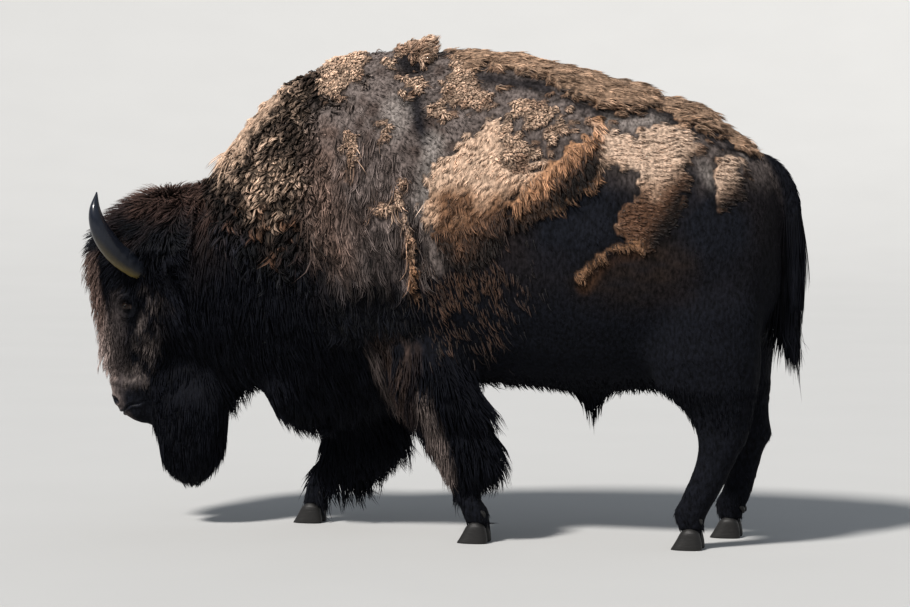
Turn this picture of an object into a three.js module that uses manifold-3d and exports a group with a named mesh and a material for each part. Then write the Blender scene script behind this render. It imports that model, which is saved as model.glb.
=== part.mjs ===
// American bison bull, walking with its head low, its winter coat half shed: a still, life-size model.
// Millimetres, +Z up. The animal faces -X, its left side is towards -Y, and its hooves stand on z = 0.
// Every solid reaches out to the tips of the coat that it carries.

import * as THREE from 'three';
import { LoftGeometry } from 'three/addons/geometries/LoftGeometry.js';
import { mergeVertices } from 'three/addons/utils/BufferGeometryUtils.js';
import Module from 'manifold-3d';

// ---------------------------------------------------------------- driving dimensions

const GAP = 0.3;                    // clear space between neighbouring solids
const ROOM = 0.45;                  // how much larger all round a body is when it cuts its neighbour
const FAR = 4000;                   // beyond every part of the animal
const LEFT = -1;                    // the side towards -Y
const RIGHT = 1;                    // the side towards +Y

// where the body is parted, as distances along X
const NECK_FRONT = -905;
const NECK_BACK = -745;
const SHOULDER_BACK = 130;
const BARREL_BACK = 815;

// where the head is parted, as heights
const FORELOCK_BOTTOM = 1075;
const MUZZLE_TOP = 552;
const MOUTH = { x: -1215, z: 424, slope: 0.72 };      // front end of the mouth and how it climbs backwards

// where the legs and the tail are parted, as heights
const HIP = 700;
const HOCK = 455;
const FETLOCK = 150;
const SWITCH_TOP = 985;

const TRACK = 190;                  // how far each foot stands from the midline
const EYE = { x: -1140, y: 172, z: 838, radius: 21, dishOut: 28, dishRadius: 30 };
const EAR = { x: -958, y: 262, z: 992, length: 128, wide: 74, thick: 34, droop: 0.3, sweep: 0.45 };
const HOOF = { length: 116, width: 54, height: 66, cleft: 7, wall: 10 };
const HOOF_SLOPE = { toe: 34, heel: 6, side: 3 };     // how far each wall leans in towards the top

// ---------------------------------------------------------------- how solids are made

const wasm = await Module();
wasm.setup();

function solidOf(geometry) {
  const bare = new THREE.BufferGeometry().copy(geometry);
  bare.deleteAttribute('normal');
  bare.deleteAttribute('uv');
  const merged = mergeVertices(bare, 1e-3);
  return new wasm.Manifold(new wasm.Mesh({
    numProp: 3,
    vertProperties: new Float32Array(merged.attributes.position.array),
    triVerts: new Uint32Array(merged.index.array),
  }));
}

// Values between the rows of a table follow a smooth curve; the rows' first value is the place.
function smoothRows(rows, between) {
  const table = rows.map((row) => Object.values(row));
  const places = table.map((values) => values[0]);
  const curve = new THREE.CubicInterpolant(places, table.flat(), table[0].length);
  const names = Object.keys(rows[0]);
  const smooth = [];
  for (let i = 0; i < rows.length - 1; i += 1) {
    for (let j = 0; j < between; j += 1) {
      const place = THREE.MathUtils.lerp(places[i], places[i + 1], j / between);
      const values = [...curve.evaluate(place)];
      smooth.push(Object.fromEntries(names.map((name, k) => [name, values[k]])));
    }
  }
  smooth.push(rows.at(-1));
  return smooth;
}

// A point of a rounded section, from -1 to 1 both ways; a higher power makes it squarer.
function roundedPoint(turn, power) {
  const angle = 2 * Math.PI * turn;
  const squarer = (value) => Math.sign(value) * Math.abs(value) ** (2 / power);
  return [squarer(Math.cos(angle)), squarer(Math.sin(angle))];
}

// A body along X from upright sections. Each is narrower above and below by its two tapers.
function bodyAlongX(rows, { sides, between = 2, power = 2.3, grow = 0 }) {
  const sections = smoothRows(rows, between).map((row, i, all) => {
    const end = i === 0 ? -grow : i === all.length - 1 ? grow : 0;
    const middle = (row.top + row.bottom) / 2;
    const reach = (row.top - row.bottom) / 2 + grow;
    return Array.from({ length: sides }, (_, k) => {
      const [across, up] = roundedPoint(k / sides, power);
      const narrowed = 1 - (up > 0 ? row.taperUp : row.taperDown) * up ** 2;
      return new THREE.Vector3(row.x + end, across * (row.half * narrowed + grow), middle + up * reach);
    });
  });
  return solidOf(new LoftGeometry(sections, { capStart: true, capEnd: true }));
}

// An upright body from level sections, listed from the lowest; y places its middle beside the midline.
function bodyUpZ(rows, { sides, between = 1, power = 2.2, y = 0, grow = 0 }) {
  const sections = smoothRows(rows, between).map((row, i, all) => {
    const end = i === 0 ? -grow : i === all.length - 1 ? grow : 0;
    const middle = (row.front + row.back) / 2;
    const reach = (row.back - row.front) / 2 + grow;
    return Array.from({ length: sides }, (_, k) => {
      const [along, across] = roundedPoint(k / sides, power);
      return new THREE.Vector3(middle + along * reach, y + across * (row.half + grow), row.z + end);
    });
  });
  return solidOf(new LoftGeometry(sections, { capStart: true, capEnd: true }));
}

// A round horn or tail along a curve through the rows' points, with the rows' radii.
function taperedTube(rows, { sides, steps, mirror = 1 }) {
  const points = rows.map((row) => new THREE.Vector3(row.x, row.y * mirror, row.z));
  const curve = new THREE.CatmullRomCurve3(points);
  const frames = curve.computeFrenetFrames(steps, false);
  const sections = [];
  for (let i = 0; i <= steps; i += 1) {
    const centre = curve.getPoint(i / steps);
    const at = (i / steps) * (rows.length - 1);
    const row = Math.min(Math.floor(at), rows.length - 2);
    const radius = THREE.MathUtils.lerp(rows[row].radius, rows[row + 1].radius, at - row);
    sections.push(Array.from({ length: sides }, (_, k) => {
      const angle = (2 * Math.PI * k) / sides;
      return centre.clone()
        .addScaledVector(frames.normals[i], radius * Math.cos(angle))
        .addScaledVector(frames.binormals[i], radius * Math.sin(angle));
    }));
  }
  return solidOf(new LoftGeometry(sections, { capStart: true, capEnd: true }));
}

function ball(x, y, z, radius) {
  return solidOf(new THREE.SphereGeometry(radius, 12, 8).translate(x, y, z));
}

// A box between two levels on each axis that is named; each face is held back by the inset.
function box(levels, inset = GAP / 2) {
  const corners = ['x', 'y', 'z'].map((axis) => levels[axis] ?? [-FAR, FAR]);
  const sizes = corners.map(([low, high]) => high - low - 2 * inset);
  const middles = corners.map(([low, high]) => (low + high) / 2);
  return solidOf(new THREE.BoxGeometry(...sizes).translate(...middles));
}

// ---------------------------------------------------------------- the shapes

// neck, hump, chest, barrel and rump in one, with the hanging hair of neck and chest
const TRUNK_ROWS = [
  { x: -1010, top: 1225, bottom: 690, half: 190, taperUp: 0.30, taperDown: 0.30 },
  { x: -905, top: 1310, bottom: 560, half: 242, taperUp: 0.34, taperDown: 0.36 },
  { x: -781, top: 1440, bottom: 508, half: 286, taperUp: 0.42, taperDown: 0.42 },
  { x: -700, top: 1558, bottom: 452, half: 312, taperUp: 0.46, taperDown: 0.46 },
  { x: -600, top: 1652, bottom: 392, half: 336, taperUp: 0.50, taperDown: 0.50 },
  { x: -460, top: 1740, bottom: 352, half: 358, taperUp: 0.52, taperDown: 0.52 },
  { x: -300, top: 1793, bottom: 400, half: 372, taperUp: 0.51, taperDown: 0.50 },
  { x: -120, top: 1812, bottom: 480, half: 376, taperUp: 0.48, taperDown: 0.40 },
  { x: 100, top: 1798, bottom: 552, half: 372, taperUp: 0.40, taperDown: 0.26 },
  { x: 330, top: 1770, bottom: 545, half: 376, taperUp: 0.31, taperDown: 0.20 },
  { x: 625, top: 1700, bottom: 528, half: 370, taperUp: 0.24, taperDown: 0.22 },
  { x: 850, top: 1634, bottom: 545, half: 342, taperUp: 0.20, taperDown: 0.30 },
  { x: 1000, top: 1582, bottom: 560, half: 316, taperUp: 0.19, taperDown: 0.36 },
  { x: 1110, top: 1512, bottom: 620, half: 288, taperUp: 0.18, taperDown: 0.36 },
  { x: 1200, top: 1440, bottom: 700, half: 248, taperUp: 0.18, taperDown: 0.34 },
  { x: 1265, top: 1350, bottom: 800, half: 190, taperUp: 0.16, taperDown: 0.26 },
  { x: 1298, top: 1250, bottom: 900, half: 112, taperUp: 0.10, taperDown: 0.10 },
];

// the head hangs nearly upright: lips lowest, then nose, brow and the woolly crown
const HEAD_ROWS = [
  { z: 378, front: -1150, back: -1095, half: 42 },
  { z: 394, front: -1188, back: -1080, half: 66 },
  { z: 424, front: -1228, back: -1070, half: 86 },
  { z: 470, front: -1258, back: -1050, half: 100 },
  { z: 520, front: -1268, back: -1020, half: 106 },
  { z: 580, front: -1277, back: -985, half: 116 },
  { z: 640, front: -1303, back: -950, half: 140 },
  { z: 730, front: -1312, back: -905, half: 172 },
  { z: 838, front: -1336, back: -870, half: 190 },
  { z: 960, front: -1362, back: -850, half: 212 },
  { z: 1050, front: -1362, back: -845, half: 226 },
  { z: 1130, front: -1322, back: -850, half: 218 },
  { z: 1195, front: -1262, back: -860, half: 192 },
  { z: 1255, front: -1182, back: -880, half: 150 },
  { z: 1290, front: -1100, back: -900, half: 100 },
  { z: 1304, front: -1030, back: -930, half: 52 },
];

// the bag of long hair under chin and throat
const BEARD_ROWS = [
  { z: 160, front: -990, back: -905, half: 30 },
  { z: 186, front: -1030, back: -872, half: 58 },
  { z: 240, front: -1062, back: -842, half: 84 },
  { z: 320, front: -1084, back: -814, half: 102 },
  { z: 400, front: -1100, back: -788, half: 112 },
  { z: 480, front: -1112, back: -765, half: 112 },
  { z: 600, front: -1090, back: -790, half: 70 },
];

// hair hanging from the belly
const SHEATH_ROWS = [
  { z: 440, front: 580, back: 612, half: 12 },
  { z: 470, front: 556, back: 632, half: 26 },
  { z: 520, front: 520, back: 676, half: 42 },
  { z: 590, front: 480, back: 740, half: 50 },
];

// shaggy upper forelegs: the left one is stretched back, the right one reaches forward
const FORE_UPPER_ROWS = {
  left: [
    { z: 176, front: 140, back: 255, half: 40 },
    { z: 194, front: 112, back: 290, half: 66 },
    { z: 240, front: 78, back: 325, half: 92 },
    { z: 310, front: 38, back: 330, half: 108 },
    { z: 400, front: -22, back: 308, half: 114 },
    { z: 490, front: -88, back: 266, half: 118 },
    { z: 590, front: -130, back: 210, half: 116 },
    { z: 760, front: -110, back: 150, half: 70 },
  ],
  right: [
    { z: 105, front: -450, back: -330, half: 40 },
    { z: 128, front: -490, back: -280, half: 66 },
    { z: 190, front: -508, back: -200, half: 92 },
    { z: 290, front: -510, back: -135, half: 108 },
    { z: 400, front: -500, back: -110, half: 116 },
    { z: 500, front: -470, back: -110, half: 118 },
    { z: 600, front: -430, back: -120, half: 110 },
    { z: 760, front: -370, back: -160, half: 70 },
  ],
};

// lower forelegs from the top of the hoof up into the shaggy hair
const FORE_LOWER_ROWS = {
  left: [
    { z: 66, front: 166, back: 266, half: 54 },
    { z: 100, front: 156, back: 256, half: 50 },
    { z: 132, front: 140, back: 250, half: 54 },
    { z: 170, front: 124, back: 224, half: 46 },
    { z: 220, front: 96, back: 190, half: 44 },
    { z: 290, front: 62, back: 168, half: 50 },
  ],
  right: [
    { z: 66, front: -572, back: -470, half: 54 },
    { z: 100, front: -562, back: -462, half: 50 },
    { z: 132, front: -556, back: -446, half: 54 },
    { z: 170, front: -540, back: -440, half: 46 },
    { z: 220, front: -520, back: -420, half: 46 },
    { z: 290, front: -500, back: -390, half: 50 },
  ],
};

// hind legs from the top of the hoof up to the thigh; the left foot stands a little further forward
const HIND_ROWS = {
  left: [
    { z: 66, front: 950, back: 1052, half: 52 },
    { z: 98, front: 944, back: 1044, half: 48 },
    { z: 130, front: 940, back: 1054, half: 53 },
    { z: 170, front: 962, back: 1064, half: 45 },
    { z: 230, front: 990, back: 1092, half: 44 },
    { z: 300, front: 1010, back: 1130, half: 48 },
    { z: 370, front: 1016, back: 1178, half: 58 },
    { z: 440, front: 998, back: 1214, half: 68 },
    { z: 510, front: 950, back: 1232, half: 94 },
    { z: 580, front: 856, back: 1246, half: 124 },
    { z: 700, front: 822, back: 1258, half: 146 },
    { z: 850, front: 850, back: 1262, half: 142 },
    { z: 1050, front: 920, back: 1200, half: 80 },
  ],
  right: [
    { z: 66, front: 1036, back: 1138, half: 52 },
    { z: 98, front: 1036, back: 1136, half: 48 },
    { z: 130, front: 1038, back: 1152, half: 53 },
    { z: 170, front: 1066, back: 1168, half: 45 },
    { z: 230, front: 1086, back: 1184, half: 44 },
    { z: 300, front: 1088, back: 1204, half: 48 },
    { z: 370, front: 1070, back: 1224, half: 58 },
    { z: 440, front: 1036, back: 1232, half: 68 },
    { z: 510, front: 968, back: 1234, half: 94 },
    { z: 580, front: 872, back: 1240, half: 124 },
    { z: 700, front: 830, back: 1250, half: 146 },
    { z: 850, front: 860, back: 1255, half: 142 },
    { z: 1050, front: 920, back: 1200, half: 80 },
  ],
};
const HIND_MIDDLE = 172;            // the hind legs stand a little inside the track of the forelegs

const TAIL_ROWS = [
  { x: 1180, y: 0, z: 1400, radius: 38 },
  { x: 1256, y: 0, z: 1366, radius: 40 },
  { x: 1314, y: 0, z: 1280, radius: 40 },
  { x: 1334, y: 0, z: 1150, radius: 40 },
  { x: 1332, y: 0, z: 1010, radius: 41 },
  { x: 1328, y: 0, z: 880, radius: 45 },
  { x: 1334, y: 0, z: 770, radius: 40 },
  { x: 1350, y: 0, z: 655, radius: 15 },
];

const HORN_ROWS = [
  { x: -1068, y: 130, z: 962, radius: 44 },
  { x: -1108, y: 195, z: 996, radius: 44 },
  { x: -1150, y: 246, z: 1040, radius: 43 },
  { x: -1182, y: 284, z: 1095, radius: 41 },
  { x: -1203, y: 304, z: 1150, radius: 33 },
  { x: -1214, y: 304, z: 1205, radius: 22 },
  { x: -1214, y: 284, z: 1268, radius: 3 },
];

// ---------------------------------------------------------------- the named parts

const bison = new THREE.Group();

const WOOL = { color: 0x6b4a33, roughness: 0.95 };
const DARK_HAIR = { color: 0x1d1513, roughness: 0.85 };
const NEW_COAT = { color: 0x2c2320, roughness: 0.7 };
const HORN = { color: 0x15171c, roughness: 0.35 };
const HOOF_HORN = { color: 0x1b1817, roughness: 0.5 };
const EYEBALL = { color: 0x0b0706, roughness: 0.1 };

function addPart(name, solid, finish) {
  const mesh = solid.getMesh();
  const geometry = new THREE.BufferGeometry();
  geometry.setAttribute('position', new THREE.BufferAttribute(mesh.vertProperties, 3));
  geometry.setIndex(new THREE.BufferAttribute(mesh.triVerts, 1));
  const part = new THREE.Mesh(geometry, new THREE.MeshStandardMaterial({ ...finish, metalness: 0 }));
  part.name = name;
  bison.add(part);
}

// The whole animal down to its hocks and shaggy forelegs, without what stands clear of it.
function wholeBody(grow) {
  let body = bodyAlongX(TRUNK_ROWS, { sides: 24, grow });
  body = body.add(bodyUpZ(HEAD_ROWS, { sides: 24, power: 2.4, grow }));
  for (const [name, side] of [['left', LEFT], ['right', RIGHT]]) {
    body = body.add(bodyUpZ(FORE_UPPER_ROWS[name], { sides: 16, y: TRACK * side, grow }));
    body = body.add(bodyUpZ(HIND_ROWS[name], { sides: 14, y: HIND_MIDDLE * side, grow }));
  }
  return body;
}
const body = wholeBody(0);
const bodyRoom = wholeBody(ROOM);

// Upright walls and level floors that the upper legs are cut out of the body with.
const LEG_SPACES = {
  left_fore: { x: [-125, 380], y: [-FAR, -60], z: [-FAR, 470] },
  right_fore: { x: [-530, -60], y: [75, FAR], z: [-FAR, 500] },
  left_hind: { x: [BARREL_BACK, FAR], y: [-FAR, 0], z: [-FAR, HIP] },
  right_hind: { x: [BARREL_BACK, FAR], y: [0, FAR], z: [-FAR, HIP] },
};

let torso = body;
for (const space of Object.values(LEG_SPACES)) {
  torso = torso.subtract(box(space, -GAP / 2));
}

// Head: each eyeball fills its socket and looks out of a dish in the coat.
let head = torso.intersect(box({ x: [-FAR, NECK_FRONT] }));
for (const side of [LEFT, RIGHT]) {
  head = head.subtract(ball(EYE.x, EYE.y * side, EYE.z, EYE.radius + GAP));
  head = head.subtract(ball(EYE.x, (EYE.y + EYE.dishOut) * side, EYE.z, EYE.dishRadius));
}
addPart('forelock', head.intersect(box({ z: [FORELOCK_BOTTOM, FAR] })), DARK_HAIR);
addPart('head', head.intersect(box({ z: [MUZZLE_TOP, FORELOCK_BOTTOM] })), DARK_HAIR);

// The mouth parts the muzzle from the lower jaw along a plane that climbs backwards.
const jawSpace = new THREE.BoxGeometry(FAR, FAR, FAR);
jawSpace.translate(FAR / 2, 0, -FAR / 2).rotateY(-Math.atan(MOUTH.slope)).translate(MOUTH.x, 0, MOUTH.z);
const jawRoom = jawSpace.clone().translate(-GAP, 0, GAP);
const lowerHead = head.intersect(box({ z: [-FAR, MUZZLE_TOP] }));
addPart('muzzle', lowerHead.subtract(solidOf(jawRoom)), DARK_HAIR);
addPart('lower_jaw', lowerHead.intersect(solidOf(jawSpace)), DARK_HAIR);

addPart('neck', torso.intersect(box({ x: [NECK_FRONT, NECK_BACK] })), WOOL);
addPart('hump_and_chest', torso.intersect(box({ x: [NECK_BACK, SHOULDER_BACK] })), WOOL);
addPart('barrel', torso.intersect(box({ x: [SHOULDER_BACK, BARREL_BACK] })), WOOL);
addPart('rump', torso.intersect(box({ x: [BARREL_BACK, FAR] })), NEW_COAT);

addPart('beard', bodyUpZ(BEARD_ROWS, { sides: 16 }).subtract(bodyRoom), DARK_HAIR);
addPart('sheath_tuft', bodyUpZ(SHEATH_ROWS, { sides: 12 }).subtract(bodyRoom), DARK_HAIR);

const tail = taperedTube(TAIL_ROWS, { sides: 10, steps: 16 }).subtract(bodyRoom);
addPart('tail', tail.intersect(box({ z: [SWITCH_TOP, FAR] })), DARK_HAIR);
addPart('tail_switch', tail.intersect(box({ z: [-FAR, SWITCH_TOP] })), DARK_HAIR);

// Two claws to each foot, flat underneath, with a cleft between them.
function claw(toe, y, side) {
  const top = HOOF.height - GAP;
  const heel = toe + HOOF.length;
  const half = HOOF.width / 2;
  const rows = [
    { z: 0, front: toe, back: heel, half },
    { z: HOOF.wall, front: toe + HOOF_SLOPE.toe * (HOOF.wall / top), back: heel, half },
    { z: top, front: toe + HOOF_SLOPE.toe, back: heel - HOOF_SLOPE.heel, half: half - HOOF_SLOPE.side },
  ];
  return bodyUpZ(rows, { sides: 12, power: 2.8, y: y + side * (HOOF.cleft / 2 + half) });
}

const FEET = {
  left_fore: { toe: 140, y: -TRACK },
  right_fore: { toe: -598, y: TRACK },
  left_hind: { toe: 924, y: -HIND_MIDDLE },
  right_hind: { toe: 1010, y: HIND_MIDDLE },
};

for (const [name, foot] of Object.entries(FEET)) {
  const [sideName, end] = name.split('_');
  const outward = Math.sign(foot.y);
  const upper = body.intersect(box(LEG_SPACES[name]));
  let lower = upper;
  if (end === 'fore') {
    addPart(`${name}_upper_leg`, upper, DARK_HAIR);
    lower = bodyUpZ(FORE_LOWER_ROWS[sideName], { sides: 14, y: foot.y }).subtract(bodyRoom);
  } else {
    addPart(`${name}_thigh`, upper.intersect(box({ z: [HOCK, FAR] })), NEW_COAT);
  }
  addPart(`${name}_cannon`, lower.intersect(box({ z: [FETLOCK, HOCK] })), DARK_HAIR);
  addPart(`${name}_pastern`, lower.intersect(box({ z: [-FAR, FETLOCK] })), DARK_HAIR);
  addPart(`${name}_outer_claw`, claw(foot.toe, foot.y, outward), HOOF_HORN);
  addPart(`${name}_inner_claw`, claw(foot.toe, foot.y, -outward), HOOF_HORN);
}

// A leaf-shaped ear, pointing outwards, backwards and a little down.
function earShape(side) {
  const leaf = new THREE.SphereGeometry(1, 10, 8).scale(EAR.thick / 2, EAR.length / 2, EAR.wide / 2);
  leaf.rotateX(-EAR.droop * side).rotateZ(-EAR.sweep * side);
  return solidOf(leaf.translate(EAR.x, EAR.y * side, EAR.z));
}

for (const [name, side] of [['left', LEFT], ['right', RIGHT]]) {
  const horn = taperedTube(HORN_ROWS, { sides: 10, steps: 12, mirror: side }).subtract(bodyRoom);
  addPart(`${name}_horn`, horn, HORN);
  addPart(`${name}_ear`, earShape(side).subtract(bodyRoom), DARK_HAIR);
  addPart(`${name}_eye`, ball(EYE.x, EYE.y * side, EYE.z, EYE.radius), EYEBALL);
}

// The origin lies on the floor under the middle of the animal's box.
const middle = new THREE.Box3().setFromObject(bison).getCenter(new THREE.Vector3());
bison.position.set(-middle.x, -middle.y, 0);

export default bison;
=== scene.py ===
import bmesh
import bpy
import numpy as np
from mathutils import Euler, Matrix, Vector
from mathutils.bvhtree import BVHTree
from mathutils.kdtree import KDTree


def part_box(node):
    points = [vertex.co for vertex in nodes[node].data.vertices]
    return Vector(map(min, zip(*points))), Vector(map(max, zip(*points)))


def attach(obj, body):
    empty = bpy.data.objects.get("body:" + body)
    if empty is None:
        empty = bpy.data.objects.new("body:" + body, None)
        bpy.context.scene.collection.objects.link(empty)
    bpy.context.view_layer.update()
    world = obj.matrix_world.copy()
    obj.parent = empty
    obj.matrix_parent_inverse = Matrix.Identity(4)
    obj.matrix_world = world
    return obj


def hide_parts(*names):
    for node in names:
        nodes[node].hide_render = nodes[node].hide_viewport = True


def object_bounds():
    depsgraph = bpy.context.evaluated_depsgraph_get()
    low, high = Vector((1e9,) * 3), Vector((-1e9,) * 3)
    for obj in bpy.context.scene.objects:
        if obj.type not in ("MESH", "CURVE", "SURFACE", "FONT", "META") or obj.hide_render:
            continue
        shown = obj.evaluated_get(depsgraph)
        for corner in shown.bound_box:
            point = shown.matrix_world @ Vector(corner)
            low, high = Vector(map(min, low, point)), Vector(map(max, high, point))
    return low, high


# American bison bull, walking with its head low while it sheds its winter coat: a life-size museum model.
# Metres, +Z up. It faces -X, its left side is towards -Y, and its hooves stand on the floor at z = 0.

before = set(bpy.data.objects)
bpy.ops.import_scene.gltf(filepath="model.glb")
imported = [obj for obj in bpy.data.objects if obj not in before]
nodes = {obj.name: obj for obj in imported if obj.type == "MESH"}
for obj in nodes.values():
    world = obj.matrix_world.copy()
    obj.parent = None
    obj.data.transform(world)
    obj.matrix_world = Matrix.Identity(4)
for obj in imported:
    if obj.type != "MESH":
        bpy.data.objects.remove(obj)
cad_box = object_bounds()
random = np.random.default_rng(seed=1872)


# ---------------------------------------------------------------- the form under the hide
# The mount's body form is carved in one piece from muzzle to tail. Muscles and bones that show through a
# shedding coat are built up on it or cut into it before the hide is drawn over.

FORM_GRAIN = 0.0135                 # edge of the form's facets before any is split
HARD_PARTS = ("horn", "eye", "claw")
flesh = sorted(name for name in nodes if not name.endswith(HARD_PARTS))

solids = bmesh.new()
solid_of_face = []
for index, name in enumerate(flesh):
    solids.from_mesh(nodes[name].data)
    solid_of_face += [index] * (len(solids.faces) - len(solid_of_face))
solids_tree = BVHTree.FromBMesh(solids)
form_mesh = bpy.data.meshes.new("form")
solids.to_mesh(form_mesh)
solids.free()


def set_up(name, data):
    """A new object in the scene, made of a mesh, a lamp or a camera."""
    piece = bpy.data.objects.new(name, data)
    bpy.context.collection.objects.link(piece)
    return piece


form = set_up("form", form_mesh)
carving = form.modifiers.new("carving", "REMESH")
carving.mode = "VOXEL"
carving.voxel_size = FORM_GRAIN
carved = bpy.data.meshes.new_from_object(form.evaluated_get(bpy.context.evaluated_depsgraph_get()))
bpy.data.objects.remove(form)


def numbers(collection, field, width, kind=np.float64):
    """One field of a mesh's vertices, edges or corners as an array."""
    flat = np.empty(len(collection) * width, kind)
    collection.foreach_get(field, flat)
    return flat.reshape(-1, width) if width > 1 else flat


def averaged(values, rounds, strength=0.5):
    """Values on the form's points, each drawn towards the mean of its neighbours."""
    a, b = edges.T
    values = values.reshape(len(values), -1).copy()
    count = np.bincount(a, minlength=len(values)) + np.bincount(b, minlength=len(values))
    for _ in range(rounds):
        for k in range(values.shape[1]):
            column = values[:, k]
            total = np.bincount(a, column[b], len(values)) + np.bincount(b, column[a], len(values))
            values[:, k] = column + strength * (total / count - column)
    return values.squeeze()


def near(place, centre, reach):
    """1 at a centre, falling smoothly to about 0 at its reach."""
    return np.exp(-4 * np.sum((place - centre) ** 2, axis=1) / reach ** 2)


def part_of(place):
    """The CAD solid nearest to each place, as an index into flesh."""
    return np.array([solid_of_face[solids_tree.find_nearest(p)[2]] for p in place])


def is_part(part, *words):
    """True where a part's name holds one of the words."""
    wanted = np.array([any(word in name for word in words) for name in flesh])
    return wanted[part]


place = numbers(carved.vertices, "co", 3)
edges = numbers(carved.edges, "vertices", 2, np.int32)
part = part_of(place)

# how readily each part gives way when the form is smoothed: slender and bony parts keep their shape
SMOOTHING_ROUNDS = 22
STIFF = {"ear": 0.06, "tail": 0.12, "cannon": 0.16, "pastern": 0.16, "muzzle": 0.12, "jaw": 0.12,
         "sheath": 0.1, "head": 0.3, "forelock": 0.3, "beard": 0.3, "leg": 0.3}
give = np.full(len(place), 0.5)
for word, amount in STIFF.items():
    give = np.where(is_part(part, word), amount, give)
give = averaged(give, 6)
uncut = BVHTree.FromPolygons(place.tolist(), [tuple(face.vertices) for face in carved.polygons])
place = averaged(place, SMOOTHING_ROUNDS, give)
carved.vertices.foreach_set("co", place.ravel())
carved.update()


def depth_below(tree, place):
    """How far each place lies below a surface; negative above it."""
    below = []
    for spot in place.tolist():
        nearest, facing, _, gap = tree.find_nearest(spot)
        below.append(gap if (nearest - Vector(spot)).dot(facing) > 0 else -gap)
    return np.array(below)


# limbs, tail and poll would come out too thin, so what smoothing took from them is built up again
MOST_LOST = 0.02
slim = is_part(part, "leg", "cannon", "pastern", "thigh", "tail", "forelock").astype(float)
lost = averaged(np.clip(depth_below(uncut, place), 0, MOST_LOST), 3)
place = place + numbers(carved.vertices, "normal", 3) * (lost * averaged(slim, 6))[:, None]
carved.vertices.foreach_set("co", place.ravel())

# finer facets where the coat breaks up, finest round the eyes, the nose and the mouth
EYE = np.array([-1.147, 0.166, 0.838])      # middle of the left eyeball, mirrored to +Y
NOSE = np.array([-1.225, 0.0, 0.465])       # between the nostrils


def reworked(mesh, change):
    """Opens a mesh for editing, makes a change to it and closes it again."""
    work = bmesh.new()
    work.from_mesh(mesh)
    change(work)
    work.to_mesh(mesh)
    work.free()


def split_faces(mesh, wanted):
    """Splits each face whose middle is wanted into four."""
    def split(work):
        chosen = wanted(np.array([face.calc_center_median() for face in work.faces]))
        lines = {line for face, keep in zip(work.faces, chosen) if keep for line in face.edges}
        bmesh.ops.subdivide_edges(work, edges=list(lines), cuts=1, use_grid_fill=True)

    reworked(mesh, split)


def folded(place):
    """Places with the animal's left side folded over onto its right, at +Y."""
    return np.column_stack([place[:, 0], np.abs(place[:, 1]), place[:, 2]])


def distance(place, point):
    """Distance from a point that is mirrored to both sides."""
    return np.linalg.norm(folded(place) - point, axis=1)


def on_trunk(place):
    return (place[:, 0] > -0.80) & (place[:, 2] > 0.93)


FINE_REACHES = ((0.10, 0.17), (0.07, 0.13), (0.042, 0.085))   # from the eyes and from the nose, round by round
for first, (by_eye, by_nose) in zip((True, False, False), FINE_REACHES):
    split_faces(carved, lambda spots: (distance(spots, EYE) < by_eye) | (distance(spots, NOSE) < by_nose)
                | (on_trunk(spots) & first))
reworked(carved, lambda work: bmesh.ops.triangulate(work, faces=work.faces))

place = numbers(carved.vertices, "co", 3)
edges = numbers(carved.edges, "vertices", 2, np.int32)
place = averaged(place, 3, strength=0.3)
corners = numbers(carved.loops, "vertex_index", 1, np.int32).reshape(-1, 3)


def unit(vectors):
    return vectors / np.maximum(np.linalg.norm(vectors, axis=-1, keepdims=True), 1e-9)


def normals_of(place):
    """Outward unit normals at the form's points."""
    a, b, c = (place[corners[:, k]] for k in range(3))
    across = np.cross(b - a, c - a)
    total = np.zeros_like(place)
    for k in range(3):
        for axis in range(3):
            total[:, axis] += np.bincount(corners[:, k], across[:, axis], len(place))
    return unit(total)


# middle of each swelling or hollow on the left side, its reach, and how high it stands
MUSCLES = (
    ((-0.22, 0.33, 1.22), 0.20, 0.012),     # shoulder blade
    ((-0.16, 0.34, 0.98), 0.16, 0.012),     # point of the shoulder and upper arm
    ((0.03, 0.35, 1.30), 0.13, -0.014),     # hollow behind the shoulder
    ((0.03, 0.33, 1.50), 0.12, -0.012),
    ((0.62, 0.36, 1.22), 0.16, -0.012),     # hollow of the flank
    ((0.70, 0.25, 1.52), 0.10, -0.010),     # beside the loin
    ((0.96, 0.28, 1.42), 0.09, 0.016),      # hook bone
    ((1.05, 0.26, 1.39), 0.06, -0.016),
    ((1.12, 0.23, 1.36), 0.08, 0.012),      # thurl
    ((1.00, 0.31, 1.00), 0.22, 0.010),      # thigh
    ((1.00, 0.16, 0.42), 0.08, -0.006),     # hollow before the hock
)
normal = normals_of(place)
one_side = folded(place)
for middle, reach, rise in MUSCLES:
    place = place + normal * (rise * near(one_side, middle, reach))[:, None]

# the hocks stand out at the rear, and the shanks are full at front and back; each leg has points of its own,
# because it stands in its own place of the stride
LEG_FULLNESS = (
    ((-0.512, 0.19, 0.290), 0.12, 0.011),
    ((-0.520, 0.19, 0.215), 0.10, 0.011),
    ((1.165, -0.17, 0.395), 0.07, 0.012),
    ((1.126, -0.17, 0.318), 0.10, 0.015),
    ((1.090, -0.17, 0.253), 0.10, 0.018),
    ((1.063, -0.17, 0.185), 0.12, 0.016),
    ((1.007, -0.17, 0.278), 0.10, 0.007),
    ((0.980, -0.17, 0.204), 0.10, 0.012),
    ((0.948, -0.17, 0.130), 0.09, 0.014),
    ((1.228, 0.17, 0.385), 0.075, 0.017),
    ((1.100, 0.17, 0.320), 0.10, 0.009),
    ((1.090, 0.17, 0.259), 0.10, 0.015),
    ((1.074, 0.17, 0.183), 0.10, 0.017),
    ((1.041, 0.17, 0.120), 0.08, 0.012),
)
for middle, reach, rise in LEG_FULLNESS:
    place = place + normal * (rise * near(place, middle, reach))[:, None]


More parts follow.
